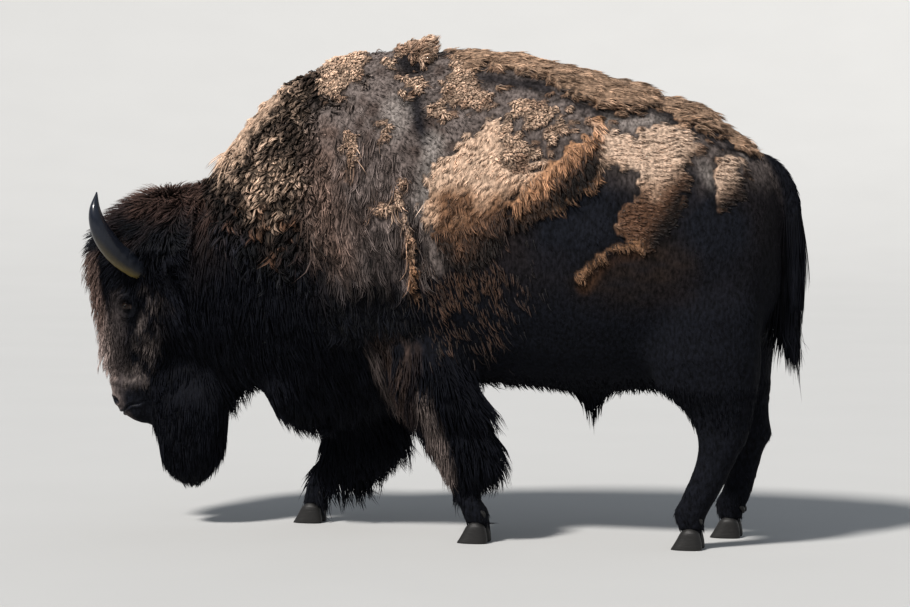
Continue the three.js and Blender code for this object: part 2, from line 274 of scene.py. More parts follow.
# ---------------------------------------------------------------- where the coat has been shed
# A bull in early summer has rubbed most of the winter wool off his flanks. Tan mats of it are left on ribs,
# loin and rump, along the backbone and over the front of the hump; dark new hair shows everywhere else.

LATTICE = random.random((32, 32, 32))


def noise(place, size):
    """Smooth random values from 0 to 1 over space, in lumps of about a size."""
    at = np.asarray(place) / size
    cell = np.floor(at).astype(int)
    f = at - cell
    f = f * f * (3 - 2 * f)
    total = np.zeros(len(at))
    for corner in np.ndindex(2, 2, 2):
        weight = np.prod(np.where(np.array(corner), f, 1 - f), axis=1)
        total += weight * LATTICE[tuple(((cell + corner) % 32).T)]
    return total


def waver(place, size, height):
    """Smooth random values about 0, in lumps of about a size; height is their whole range."""
    return (noise(place, size) - 0.5) * height


# The mats are drawn on a side elevation, x and z in metres, that is taken from a little behind square on:
# the nearer the midline a place lies, the farther back it looks. The right side carries the same ones,
# shifted.
ELEVATION_TURN = 0.25
HALF_BREADTH = 0.35
FAR_SHIFT = np.array([0.04, 0.02])

part = part_of(place)
trunk = is_part(part, "neck", "hump", "barrel", "rump", "thigh", "upper_leg")
far_side = place[:, 1] > 0


def elevation(place):
    """Where places lie on the side elevation."""
    side_x = place[:, 0] + ELEVATION_TURN * (HALF_BREADTH - np.abs(place[:, 1]))
    return np.column_stack([side_x, place[:, 2]]) + np.where(place[:, 1:2] > 0, FAR_SHIFT, 0)


drawn = elevation(place)
ragged = waver(place, 0.055, 0.040) + waver(place, 0.020, 0.044)


def oval(x, z, wide, high, lean=0.0):
    """Metres inside the rim of an oval on the elevation; lean turns its long axis, in radians."""
    along, up = drawn[:, 0] - x, drawn[:, 1] - z
    turned = along * np.cos(lean) + up * np.sin(lean), up * np.cos(lean) - along * np.sin(lean)
    return (1 - np.hypot(turned[0] / wide, turned[1] / high)) * min(wide, high)


def band(half_width, *line):
    """Metres inside a band along a line of points on the elevation."""
    inside = np.full(len(drawn), -1.0)
    for start, end in zip(line[:-1], line[1:]):
        start, step = np.array(start), np.subtract(end, start)
        t = np.clip((drawn - start) @ step / (step @ step), 0, 1)
        inside = np.maximum(inside, half_width - np.linalg.norm(drawn - start - t[:, None] * step, axis=1))
    return inside


def outlined(*outline):
    """Metres inside a closed outline on the elevation."""
    within = np.zeros(len(drawn), bool)
    for start, end in zip(outline, outline[1:] + outline[:1]):
        spans = (start[1] > drawn[:, 1]) != (end[1] > drawn[:, 1])
        crossing = start[0] + (drawn[:, 1] - start[1]) * (end[0] - start[0]) / ((end[1] - start[1]) or 1e-9)
        within ^= spans & (drawn[:, 0] < crossing)
    gap = -band(0.0, *outline, outline[0])
    return np.where(within, gap, -gap)


def most(*layers):
    return np.maximum.reduce(layers)


def edge(inside, softness):
    """0 outside a rim and 1 inside it."""
    return np.clip(inside / softness + 0.5, 0, 1)


def between(values, low, high):
    """0 below a low value, 1 above a high one."""
    return np.clip((values - low) / (high - low), 0, 1)


ribs = outlined((0.275, 1.565), (0.175, 1.45), (0.085, 1.355), (0.045, 1.29), (0.04, 1.20), (0.085, 1.10),
                (0.135, 1.015), (0.205, 1.005), (0.29, 1.085), (0.35, 1.20), (0.41, 1.31), (0.465, 1.39),
                (0.42, 1.42), (0.34, 1.45), (0.34, 1.52))
rusty = outlined((0.695, 1.545), (0.605, 1.48), (0.54, 1.405), (0.42, 1.33), (0.355, 1.24), (0.36, 1.14),
                 (0.45, 1.19), (0.58, 1.245), (0.67, 1.30), (0.71, 1.38), (0.74, 1.49))
loin = outlined((0.675, 1.52), (0.745, 1.51), (0.815, 1.485), (0.865, 1.51), (0.93, 1.525), (1.015, 1.50),
                (1.08, 1.455), (1.025, 1.39), (0.995, 1.30), (0.97, 1.20), (0.93, 1.11), (0.85, 1.075),
                (0.80, 1.09), (0.755, 1.12), (0.745, 1.195), (0.82, 1.30), (0.81, 1.36), (0.67, 1.375))
rump_mat = outlined((1.135, 1.411), (1.175, 1.418), (1.22, 1.397), (1.235, 1.346), (1.22, 1.27),
                    (1.12, 1.235), (1.085, 1.265), (1.115, 1.339))
back_strip = outlined((0.15, 1.665), (0.275, 1.665), (0.33, 1.655), (0.42, 1.695), (0.50, 1.635),
                      (0.72, 1.585), (0.815, 1.57), (0.87, 1.595), (0.97, 1.55), (1.085, 1.505),
                      (1.265, 1.42), (1.315, 1.57), (1.045, 1.785), (0.16, 1.90))
ledge = band(0.010, (0.82, 1.095), (0.765, 1.085), (0.715, 1.078), (0.69, 1.045), (0.645, 1.01),
             (0.61, 0.965)) + ragged * 0.45
front = band(0.045, (-0.70, 1.42), (-0.61, 1.56), (-0.47, 1.73), (-0.32, 1.82))
# a gap without felt below the front of the strip; its hair is darkened by painted shadow of the strip
shadowed_gap = band(0.026, (0.26, 1.70), (0.38, 1.68), (0.50, 1.66)) + ragged / 3
back_strip = np.minimum(back_strip, -shadowed_gap)
knotted = most(
    outlined((0.15, 1.75), (0.215, 1.705), (0.285, 1.65), (0.285, 1.59), (0.185, 1.585), (0.14, 1.605),
             (0.095, 1.545), (0.06, 1.565), (0.085, 1.64), (0.125, 1.695)),
    outlined((0.33, 1.53), (0.39, 1.49), (0.415, 1.505), (0.45, 1.45), (0.485, 1.425), (0.455, 1.39),
             (0.41, 1.34), (0.36, 1.33), (0.33, 1.42)),
    band(0.020, (0.385, 1.56), (0.41, 1.59), (0.475, 1.595), (0.525, 1.575)),
    band(0.020, (0.47, 1.57), (0.425, 1.53), (0.40, 1.475), (0.455, 1.43)),
    band(0.016, (0.515, 1.565), (0.505, 1.44)),
    band(0.013, (0.525, 1.535), (0.595, 1.59)),
    band(0.012, (0.565, 1.52), (0.625, 1.535)),
    outlined((-0.11, 1.745), (-0.055, 1.80), (0.045, 1.85), (0.085, 1.85), (0.08, 1.77), (0.03, 1.73),
             (0.0, 1.775), (-0.05, 1.76), (-0.065, 1.705)),
    outlined((-0.055, 1.655), (-0.025, 1.69), (0.045, 1.69), (0.05, 1.655), (0.0, 1.65), (-0.035, 1.63)),
    outlined((-0.25, 1.50), (-0.205, 1.495), (-0.205, 1.42), (-0.25, 1.315), (-0.27, 1.345), (-0.245, 1.42)),
    band(0.004, (-0.12, 1.52), (-0.10, 1.53), (-0.105, 1.47)),
    band(0.014, (-0.03, 1.315), (-0.055, 1.245), (-0.025, 1.175), (0.0, 1.035), (0.005, 0.92)),
    band(0.008, (-0.13, 1.215), (-0.07, 1.225)),
    outlined((-0.32, 1.785), (-0.32, 1.86), (-0.16, 1.86), (-0.19, 1.705), (-0.245, 1.635), (-0.34, 1.61),
             (-0.37, 1.64)),
)
HOLE_LOSS = 0.018                   # how much of a mat's edge is lost where its wool has already fallen out
FELT_RIM = 0.012
holes = HOLE_LOSS * edge(noise(place + 5.0, 0.023) - 0.64, 0.12)
knotted = knotted + ragged * 1.2 - holes
mats = most(most(ribs, rusty, loin, rump_mat, back_strip, front) + ragged - holes, knotted, ledge)
felt = edge(np.where(trunk, mats, -1), FELT_RIM)
knots = felt * edge(knotted, 0.01)
strip = felt * edge(back_strip + ragged, 0.02) * (1 - knots)
cape = outlined((-0.82, 1.26), (-0.80, 1.50), (-0.415, 1.90), (-0.16, 1.90), (-0.19, 1.705), (-0.245, 1.635),
                (-0.35, 1.59), (-0.38, 1.50), (-0.375, 1.37), (-0.36, 1.12), (-0.44, 0.98), (-0.60, 0.98),
                (-0.70, 1.09), (-0.78, 1.17))
rear_fade = 0.05 + 0.11 * between(drawn[:, 0], -0.50, -0.40) * between(drawn[:, 1], 1.65, 1.50)
cape = edge(np.where(trunk, cape + 2 * ragged, -1), rear_fade) * (1 - felt)
trunk_soft = averaged(trunk.astype(float), 8)

# ridges in the felt: level rows over the loin, and creases that slope down and forward over the ribs
LOIN_CRIMP, RIB_CRIMP = 0.0175, 0.025
RIBS_END = 0.60                     # where the creases give way to the rows


def crimp_at(place):
    """-1 in a groove of the felt and 1 on a ridge."""
    x, z = elevation(place).T
    rows = z + 0.045 * noise(place, 0.08) + 0.022 * noise(place, 0.03)
    creases = 0.80 * x - 0.60 * z + 0.055 * noise(place, 0.08) + 0.022 * noise(place, 0.03)
    waves = np.where(x > RIBS_END, rows / LOIN_CRIMP, creases / RIB_CRIMP)
    return np.sin(2 * np.pi * waves) * (0.55 + 0.9 * noise(place, 0.05))


crimp = crimp_at(place)


def soft_part(*words):
    """1 on the parts whose names hold one of the words, blending into their neighbours."""
    return averaged(is_part(part, *words).astype(float), 8)


crown = soft_part("forelock")
face = soft_part("head", "muzzle", "jaw")
nose_end = np.clip(1.2 - distance(place, NOSE) / 0.09, 0, 1)
ears = soft_part("ear")
beard = soft_part("beard")
ahead, height = -place[:, 0], place[:, 2]
left_foreleg = band(0.19, (-0.01, 0.66), (0.08, 0.48), (0.20, 0.25))
right_foreleg = band(0.20, (-0.27, 0.60), (-0.33, 0.30))
foreleg = edge(np.where(far_side, right_foreleg, left_foreleg), 0.06) * (np.abs(place[:, 1]) > 0.06)
foreleg = foreleg * trunk_soft * edge(0.66 - height, 0.12)
chaps = np.clip(soft_part("upper_leg", "fore_cannon") + foreleg, 0, 1) * between(height, 0.15, 0.21)
shank = soft_part("cannon", "pastern") * (1 - chaps)
tail = soft_part("tail")
switch = tail * between(height, 1.26, 1.11)
neck_side = trunk_soft * between(ahead, 0.33, 0.43) * between(height, 1.30, 1.00)
brisket = trunk_soft * between(ahead, 0.1, 0.2) * between(height, 0.75, 0.65)
mane = np.clip(neck_side + soft_part("neck") + brisket, 0, 1) * (1 - cape)


# ---------------------------------------------------------------- the hide
# One tanned skin, from lips to tail, without a seam. It lies inside the tips of the hair by the depth of the
# coat that grows on it: deep under mane, beard and chaps, shallow on face and shanks.

COAT_DEPTH = {"forelock": 0.042, "head": 0.020, "muzzle": 0.005, "jaw": 0.008, "neck": 0.042, "hump": 0.015,
              "barrel": 0.014, "rump": 0.010, "beard": 0.060, "sheath": 0.02, "tail": 0.006, "switch": 0.016,
              "ear": 0.006, "upper_leg": 0.044, "cannon": 0.004, "fore_cannon": 0.04, "pastern": 0.004,
              "thigh": 0.008}
FELT_DEPTH = 0.005
CAPE_DEPTH = 0.016
MANE_DEPTH = 0.036

depth = np.full(len(place), 0.02)
for word, amount in COAT_DEPTH.items():
    depth = np.where(is_part(part, word), amount, depth)
depth = np.where(is_part(part, "fore_cannon") & (height < 0.2), COAT_DEPTH["cannon"], depth)
normal = normals_of(place)
limb_front = is_part(part, "upper_leg", "fore_cannon") * between(normal[:, 0], -0.2, -0.8)
depth = depth * (1 - 0.5 * limb_front)
brow_front = is_part(part, "head") & (normal[:, 0] < -0.5) & (ahead > 1.10)
depth = np.where(brow_front, np.interp(height, [0.55, 0.70, 0.95], [0.012, 0.026, 0.040]), depth)
depth = averaged(depth, 10)
depth = depth + np.maximum(MANE_DEPTH - depth, 0) * mane
depth = depth * (1 - cape) + CAPE_DEPTH * cape
depth = depth * (1 - felt) + FELT_DEPTH * felt
depth = np.where(distance(place, EYE) < 0.05, 0.004, depth)

THROAT_NOTCH = (-0.655, 0.0, 0.575)     # where throat and brisket meet
BEHIND_BEARD = (-0.72, 0.0, 0.46)
BRISKET_FRONT = (-0.56, 0.0, 0.50)
MIDLINE = np.array([1, 0, 1])           # places times this lie on the animal's midline
for middle, reach, deeper in ((THROAT_NOTCH, 0.08, 0.022), (BEHIND_BEARD, 0.16, 0.038),
                              (BRISKET_FRONT, 0.14, -0.028)):
    depth = depth + deeper * near(place * MIDLINE, middle, reach)

# slender parts keep a core: the hide sinks in by no more than this share of what is there
SINKING_SHARE = 0.38
thick_tree = BVHTree.FromPolygons(place.tolist(), corners.tolist())
thickness = np.full(len(place), 1.0)
for i in np.flatnonzero(depth > 0.008):
    start = Vector(place[i] - normal[i] * 0.002)
    hit = thick_tree.ray_cast(start, Vector(-normal[i]), 0.3)
    if hit[0] is not None:
        thickness[i] = hit[3]
depth = np.minimum(depth, SINKING_SHARE * averaged(thickness, 4))
depth = averaged(depth, 2, strength=0.4)

# felt, cape and wool are lumpy, and the lumps are of one piece with the hide
wool_left = (1 - felt) * (1 - cape) * between(drawn[:, 1], 1.05, 1.25) * between(drawn[:, 0], 0.35, 0.10)
woolly = trunk_soft * wool_left
lumps = waver(place, 0.03, 0.007 * felt + 0.011 * knots) + waver(place, 0.042, 0.020 * cape)
lumps = lumps + waver(place, 0.024, 0.007 * woolly) + waver(place * [0.4, 1, 1], 0.030, 0.016 * strip)
lumps = lumps + 0.0030 * crimp * felt * (1 - knots) * (1 - strip)
# the strip along the back lies in three lobes, each thickest at its rear end
lobes = np.interp(drawn[:, 0], [0.12, 0.30, 0.80, 0.895, 0.92, 1.00, 1.14, 1.165, 1.26],
                  [0.0, 0.010, 0.014, 0.020, -0.008, 0.004, 0.014, -0.006, 0.006])
lumps = lumps + lobes * strip
# over the top of the hump a flap of felt has come loose and stands up at its rear end
flap = edge(0.075 - np.abs(place[:, 1] + 0.035), 0.04) * between(ahead, 0.17, 0.01) * (height > 1.7)
flap = flap * edge(ahead - 0.004 + ragged / 2, 0.012)
lumps = lumps + 0.032 * flap * (0.6 + 0.8 * noise(place, 0.03))
place = place - normal * (depth - lumps)[:, None]
place = averaged(place, 1, strength=0.25)

# the cheeks and the throat run down into the beard without a step
from_throat = np.hypot(place[:, 0] + 0.92, (place[:, 2] - 0.50) * 1.2)
throat = edge(0.19 - from_throat, 0.06) * between(place[:, 0], -1.13, -1.07)
place = averaged(place, 40, strength=0.5 * throat)


def bump_in(place, height, mask):
    """Moves the hide out along its normals by a height, where the mask allows."""
    return place + normals_of(place) * (height * mask)[:, None]


def crest(values, middle, width):
    """1 where values pass a middle one, falling smoothly to both sides."""
    return np.exp(-((values - middle) / width) ** 2)


# lids: a raised almond rim round each eyeball, with a fold above it
EYEBALL_RADIUS = 0.0205
LID_OPENING = (0.0185, 0.0115)      # half width and half height
LID_THICKNESS = 0.0036
SOCKET_DEPTH = 0.007                # of the skin behind the face of the eyeball
outward = unit(np.array([-0.22, 0.965, 0.10]))
forward = unit(np.cross([0.0, 0.25, 1.0], outward))
upward = np.cross(outward, forward)
for side in (-1, 1):
    flip = np.array([1, side, 1])
    local = place * flip - EYE
    out, fore, up = local @ outward, local @ forward, local @ upward
    close = (out > -0.03) & (np.hypot(fore, up) < 0.075)
    ring = np.hypot(fore / LID_OPENING[0], (up - 0.1 * fore) / LID_OPENING[1])
    ball = np.sqrt(np.maximum(EYEBALL_RADIUS ** 2 - fore ** 2 - up ** 2, 0.004 ** 2))
    skin = np.interp(ring, [0, 0.92, 1.06, 1.35, 1.9, 2.7], [0, 0, 1, 1, 0.45, 0])
    target = np.where(ring < 0.98, ball - SOCKET_DEPTH, (ball + LID_THICKNESS) * skin + out * (1 - skin))
    target = np.where(ring > 1.0, target - 0.0022 * crest(ring, 1.75, 0.22) * (up > 0), target)
    brow = 0.010 * crest(up, 0.045, 0.016) * crest(fore, 0, 0.05)
    move = np.where(close, target - out + brow, 0)
    place = place + (move[:, None] * outward) * flip

# the nose: bare pad, nostrils, upper lip and the line of the mouth
NOSTRIL = np.array([-1.232, 0.050, 0.476])
LIP_FRONT, MOUTH_HEIGHT = -1.222, 0.424
low = distance(place, NOSE) < 0.2
back = place[:, 0] - LIP_FRONT
mouth_rise = 0.72 * back - 2.2 * back ** 2 - 0.004 * np.sin(90 * back)
mouth_line = place[:, 2] - MOUTH_HEIGHT - mouth_rise           # height over the line of the mouth
mouth_reach = between(-place[:, 0], 1.10, 1.13) * low
place = bump_in(place, -0.004 * crest(mouth_line, 0, 0.004), mouth_reach)
place = bump_in(place, 0.003 * crest(np.abs(mouth_line), 0.010, 0.006), mouth_reach)
from_nostril = folded(place) - NOSTRIL
slit = np.hypot(from_nostril[:, 0] * 0.8 + from_nostril[:, 2] * 0.35, from_nostril[:, 2] * 0.9) / 0.0125
slit = np.hypot(slit, np.maximum(np.abs(from_nostril[:, 1]) - 0.02, 0) / 0.02)
place = bump_in(place, 0.004 * crest(slit, 1.35, 0.35), low)
place = bump_in(place, -0.018 * np.exp(-slit ** 4), low)
between_nostrils = low & (mouth_line > 0) & (place[:, 2] < 0.5)
place = bump_in(place, -0.002 * crest(place[:, 1], 0, 0.003), between_nostrils)
pad = np.clip(1.6 - np.hypot((place[:, 2] - 0.462) / 0.034, place[:, 1] / 0.055), 0, 1)
pad = pad * (place[:, 0] < -1.17) * (mouth_line > -0.002)
bare = np.clip(pad * 1.5 + crest(mouth_line, 0, 0.012) * mouth_reach, 0, 1)

# what colour the hair is, over the whole animal
# both black hair colours carry a blue cast that is painted reflection of the sky; the hair itself is near
# black
BLACK_HAIR = np.array([0.0046, 0.0052, 0.0080])
UMBER = np.array([0.026, 0.0175, 0.0145])
NEW_COAT = np.array([0.145, 0.118, 0.108])
SKY_TINTED_BLACK = np.array([0.0060, 0.0068, 0.0102])
SHOULDER_GREY = np.array([0.130, 0.103, 0.094])
DUST = np.array([0.27, 0.24, 0.222])
RED_BROWN = np.array([0.125, 0.064, 0.038])
RUST = np.array([0.385, 0.205, 0.112])
TAN = np.array([0.78, 0.545, 0.395])
LOIN_TAN = np.array([0.72, 0.520, 0.390])
STRIP_TAN = np.array([0.33, 0.215, 0.145])
CAPE_TAN = np.array([0.43, 0.305, 0.225])
BONNET_BROWN = np.array([0.064, 0.037, 0.030])
BROW_BROWN = np.array([0.118, 0.080, 0.068])
BRIDGE_BROWN = np.array([0.320, 0.255, 0.235])


def over(under, colour, mask):
    """A colour laid over others by a mask."""
    return under + (np.asarray(colour) - under) * np.reshape(mask, (-1, 1))


def layered(under, layers):
    """Colours laid one over another, each by its mask."""
    for colour, mask in layers:
        under = over(under, colour, mask)
    return under


x, z = drawn.T
blotch = waver(place, 0.09, 0.18) + waver(place, 0.035, 0.08)
quarter_wool = outlined((0.60, 0.955), (0.66, 1.01), (0.71, 1.065), (0.80, 1.085), (0.93, 1.10), (1.03, 1.05),
                        (1.00, 0.90), (0.80, 0.82), (0.62, 0.88))
# a dark brown band just below the ledge: brown hair, darkened further as painted shadow of the ledge
ledge_shadow_band = band(0.022, (0.83, 1.07), (0.735, 1.052), (0.675, 0.99), (0.63, 0.94)) + blotch / 8
brown_curls = band(0.06, (-0.34, 1.42), (-0.33, 1.28), (-0.29, 1.10)) + blotch / 2
behind_shoulder = band(0.05, (0.04, 1.28), (0.09, 1.04)) + blotch / 3
fluff = oval(0.71, 1.11, 0.09, 0.05) + blotch / 3
dark_flank = most(oval(0.62, 1.18, 0.22, 0.16, 0.2), oval(0.96, 1.30, 0.09, 0.10),
                  oval(1.12, 1.16, 0.13, 0.14))
hump_shade = band(0.03, (0.0, 1.62), (0.045, 1.47)) + blotch / 6
# painted shadow just under the lower edge of the strip along the back
shadow_under_strip = edge(back_strip + 0.030 + ragged, 0.02) * between(x, 0.48, 0.60)
dusty_loin = band(0.018, (0.73, 1.54), (0.80, 1.522), (0.90, 1.542)) + blotch / 8
dust_marks = (
    (edge(oval(-0.065, 1.55, 0.045, 0.06) + blotch / 6, 0.06), 0.70),
    (edge(band(0.03, (0.08, 1.46), (0.06, 1.36), (0.04, 1.24)), 0.05), 0.8),
    (edge(oval(1.085, 1.36, 0.02, 0.05, 0.4) + blotch / 6, 0.03), 0.45),
    (edge(oval(1.235, 1.43, 0.02, 0.025), 0.03), 0.6),
)
trunk_marks = (
    (UMBER, between(z, 0.85, 1.35) * (0.7 - 0.4 * between(x, 0.4, 0.7))),
    (UMBER * 0.6, edge(quarter_wool + blotch / 4, 0.10) * between(z, 0.80, 1.06)
     * (0.45 + 1.1 * noise(place * [0.3, 1, 1], 0.018))),
    # brown hair below the ledge, darkened as painted shadow of the ledge
    (RED_BROWN * 0.30, edge(ledge_shadow_band, 0.03)),
    (NEW_COAT, between(z + blotch, 1.22, 1.52) * between(x, -0.55, -0.35)),
    (SHOULDER_GREY, edge(oval(-0.20, 1.27, 0.28, 0.26) + blotch, 0.2) * 0.9),
    (UMBER * 1.8, wool_left * between(noise(place + 9.0, 0.045), 0.50, 0.75) * 0.75),
    (RED_BROWN * 0.7 + SHOULDER_GREY * 0.65, edge(brown_curls, 0.12) * 0.85),
    (BLACK_HAIR, between(z + blotch, 1.10, 0.98) * between(x, -0.30, -0.42)),
    (NEW_COAT * 0.9, edge(behind_shoulder, 0.05)),
    (UMBER * 2.0, edge(fluff, 0.06) * between(noise(place, 0.02), 0.35, 0.65)),
    (SKY_TINTED_BLACK, edge(dark_flank + blotch / 3, 0.09)),
    (SKY_TINTED_BLACK, edge(hump_shade, 0.04) * 0.9),
    (BLACK_HAIR, edge(oval(0.0, 1.742, 0.06, 0.035) + blotch / 6, 0.03) * 0.9),
    *((DUST, mark * strength) for mark, strength in dust_marks),
    # painted shadow of the strip in the gap below its front
    (BLACK_HAIR, edge(shadowed_gap, 0.03) * 0.85),
    # painted shadow under the strip's lower edge
    (BLACK_HAIR, shadow_under_strip * 0.8),
    (DUST, edge(dusty_loin, 0.04) * 0.5),
)
colour = np.tile(BLACK_HAIR, (len(place), 1))
colour = layered(colour, ((shade, trunk_soft * mask) for shade, mask in trunk_marks))

near_side = (place[:, 1] < 0) * (1 - face) * (1 - beard)
elbow = outlined((-0.15, 0.74), (-0.05, 0.76), (0.02, 0.70), (0.02, 0.50), (-0.04, 0.50), (-0.10, 0.58))
leg_streaks = most(band(0.030, (0.04, 0.56), (0.055, 0.45), (0.085, 0.34), (0.105, 0.27)),
                   band(0.016, (-0.165, 0.68), (-0.12, 0.56), (-0.07, 0.48))) + blotch / 8
patchy = between(noise(place * [1, 1, 0.4], 0.02), 0.30, 0.60)
colour = over(colour, UMBER * 1.6, edge(elbow + blotch / 3, 0.06) * near_side * patchy)
colour = over(colour, SHOULDER_GREY * 1.15, edge(leg_streaks, 0.03) * near_side)
thinning = trunk_soft * edge(oval(0.21, 0.92, 0.19, 0.24), 0.2) * (1 - felt)
thinning = thinning * between(noise(place + 2.0, 0.05), 0.42, 0.62)

# the felt is tan towards the top of each mat and rusty to dark brown lower down and where it hangs under:
# partly bleached and rusty wool, partly painted light from above and painted shade beneath
rib_felt, loin_felt, ledge_felt = edge(ribs + 0.03, 0.03), edge(loin + 0.01, 0.03), edge(ledge + 0.01, 0.01)
rib_height = z + blotch + 0.16 * between(x, 0.12, 0.04)
rusty_share = between(rusty - np.maximum(loin, 0) - np.maximum(ribs, 0) / 2, -0.01, 0.03)
up_arc = (z - 1.292) - 0.92 * (x - 0.415) + blotch / 4        # 0 along the upper edge of the rusty arc
arc_colour = over(UMBER * 0.5, RED_BROWN, between(up_arc, -0.12, -0.06))
arc_colour = over(arc_colour, RUST * 1.7, between(up_arc, -0.075, -0.02))
loin_share = edge(most(loin, rump_mat) + 0.01, 0.03) * (1 - rusty_share)
from_rear_rim = 0.98 + 0.62 * (z - 1.27) - x + blotch / 4     # the mat fades out towards its rear rim
felt_colour = layered(over(UMBER * 0.8, RED_BROWN, between(rib_height, 1.06, 1.21)), (
    (RUST, between(rib_height, 1.16, 1.30)),
    (TAN, between(rib_height, 1.22, 1.36) * rib_felt),
    (arc_colour, rusty_share),
    (LOIN_TAN, loin_share * between(z + blotch + 0.08 * (rump_mat > -0.03), 1.16, 1.38)),
    (RED_BROWN * 1.2, loin_share * between(z + blotch, 1.36, 1.16)),
    (RED_BROWN * 0.9, loin_felt * between(from_rear_rim, 0.10, 0.03)),
    (UMBER * 0.6, loin_felt * between(from_rear_rim, 0.045, -0.005)),
    (UMBER, edge(rump_mat + 0.02, 0.03) * between(x - z * 0.9 + blotch / 3, -0.04, 0.02)),
    (RUST * 0.8, ledge_felt),
    (STRIP_TAN, strip),
    (TAN * 0.75, edge(front + 0.03, 0.02)),
    (TAN * 0.85, knots),
    (RED_BROWN * 2.0, knots * between(noise(place + 3.0, 0.05), 0.55, 0.75) * 0.6),
    (RUST * 0.9, knots * between(z, 1.15, 1.0)),
))

cape_middle = edge(oval(-0.56, 1.37, 0.14, 0.17, 0.2) + blotch / 2, 0.12)
above_foot = z - 0.18 * between(x, -0.58, -0.80) + blotch
low_knots = between(noise(place + 4.0, 0.03), 0.58, 0.75) * between(z, 1.30, 1.18) * between(z, 0.98, 1.06)
rear_curls = between(x, -0.44, -0.37) * between(z, 1.50, 1.40) * between(z, 1.04, 1.14)
cape_colour = layered(over(UMBER * 0.7, CAPE_TAN * 0.30, between(above_foot, 1.14, 1.32)), (
    (CAPE_TAN, cape_middle * 0.75),
    (UMBER, between(noise(place + 9.0, 0.06), 0.48, 0.62) * 0.8),
    (UMBER * 0.6, edge(oval(-0.345, 1.58, 0.06, 0.10) + blotch / 3, 0.06) * 0.8),
    (RED_BROWN * 1.2, low_knots * 0.7),
    (RED_BROWN * 0.6 + SHOULDER_GREY * 0.5, rear_curls * 0.8),
    (BLACK_HAIR * 1.3, between(above_foot, 1.11, 1.01)),
))

# the head is black with a brown bonnet and brow; face and cheek are paler, as is the rim behind the nose
ahead, height, from_nose = -place[:, 0], place[:, 2], distance(place, NOSE)
poll_side = trunk_soft * edge(ahead - 0.72, 0.1) * (1 - cape) * (1 - felt) * between(z + blotch, 1.18, 1.30)
brow_soft = averaged(brow_front.astype(float), 6)
bridge = between(ahead, 1.14, 1.26) * between(height + blotch, 0.88, 0.74) * between(height, 0.50, 0.60)
cheek = most(oval(-1.03, 0.745, 0.05, 0.08), band(0.010, (-1.03, 0.93), (-0.97, 0.86)),
             oval(-1.085, 0.57, 0.035, 0.03)) + blotch / 4
nose_rim = edge(from_nose - 0.045, 0.02) * edge(0.115 - from_nose, 0.06) * between(normal[:, 0], -0.1, -0.8)
colour = layered(colour, (
    (felt_colour, felt),
    (cape_colour, cape),
    (BONNET_BROWN, np.clip(crown + poll_side, 0, 1) * between(height + blotch, 1.10, 1.25)),
    (BROW_BROWN, face * brow_soft * (1 - nose_end)),
    (BRIDGE_BROWN, face * (1 - nose_end) * bridge * (0.35 + 0.65 * brow_soft)),
    (NEW_COAT * 1.4, face * edge(cheek, 0.05) * between(noise(place, 0.022), 0.20, 0.70)),
    (BRIDGE_BROWN * 0.8, face * nose_rim * 0.7),
    (BLACK_HAIR * 1.6, bare),
))


def smooth_shaded(mesh):
    mesh.polygons.foreach_set("use_smooth", np.ones(len(mesh.polygons), bool))


def dress(piece, finish, slot, *stands_for):
    """Gives a piece its finish, fixes it to the mount and hides the CAD parts it stands for."""
    piece.data.materials.append(finish)
    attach(piece, "root")
    if stands_for:
        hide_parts(*stands_for)


carved.vertices.foreach_set("co", place.ravel())
carved.name = "hide"
hide = set_up("hide", carved)
smooth_shaded(carved)

UNWRAP_TURN = 1.15                  # sharpest turn within one patch of the hide's unwrap, in radians
UNWRAP_GAP = 0.002                  # between patches, as a share of the whole
carved.uv_layers.new(name="OFBake")
bpy.context.view_layer.objects.active = hide
hide.select_set(True)
bpy.ops.object.mode_set(mode="EDIT")
bpy.ops.mesh.select_all(action="SELECT")
bpy.ops.uv.smart_project(angle_limit=UNWRAP_TURN, island_margin=UNWRAP_GAP)
bpy.ops.object.mode_set(mode="OBJECT")
carved = hide.data


def paint_points(mesh, name, values):
    """Stores a colour for each point of a mesh, or one value as a grey."""
    if values.ndim == 1:
        values = np.column_stack([values] * 3)
    layer = mesh.color_attributes.new(name, "FLOAT_COLOR", "POINT")
    layer.data.foreach_set("color", np.column_stack([values, np.ones(len(values))]).ravel())


# painted shade on the hide between the roots, deepest under cape and knots, outside the mats and round the
# eyes
root_shadow = 0.75 - 0.62 * cape - 0.58 * knots - 0.25 * (felt - knots)
root_shadow = root_shadow * (1 - 0.6 * edge(mats + 0.022, 0.03) * trunk * (1 - felt))
root_shadow = root_shadow * (1 - 0.6 * near(folded(place), EYE, 0.09))
paint_points(carved, "hair_colour", colour * root_shadow[:, None])
paint_points(carved, "bare_skin", bare)


class Value:
    """A node's output, so that shader maths is written as arithmetic."""

    def __init__(self, paint, socket):
        self.paint = paint
        self.socket = socket

    def maths(self, operation, a, b):
        return self.paint.node("ShaderNodeMath", {"operation": operation}, {0: a, 1: b})

    def __add__(self, other):
        return self.maths("ADD", self, other)

    def __radd__(self, other):
        return self.maths("ADD", other, self)

    def __rsub__(self, other):
        return self.maths("SUBTRACT", other, self)

    def __mul__(self, other):
        return self.maths("MULTIPLY", self, other)

    def __rmul__(self, other):
        return self.maths("MULTIPLY", other, self)


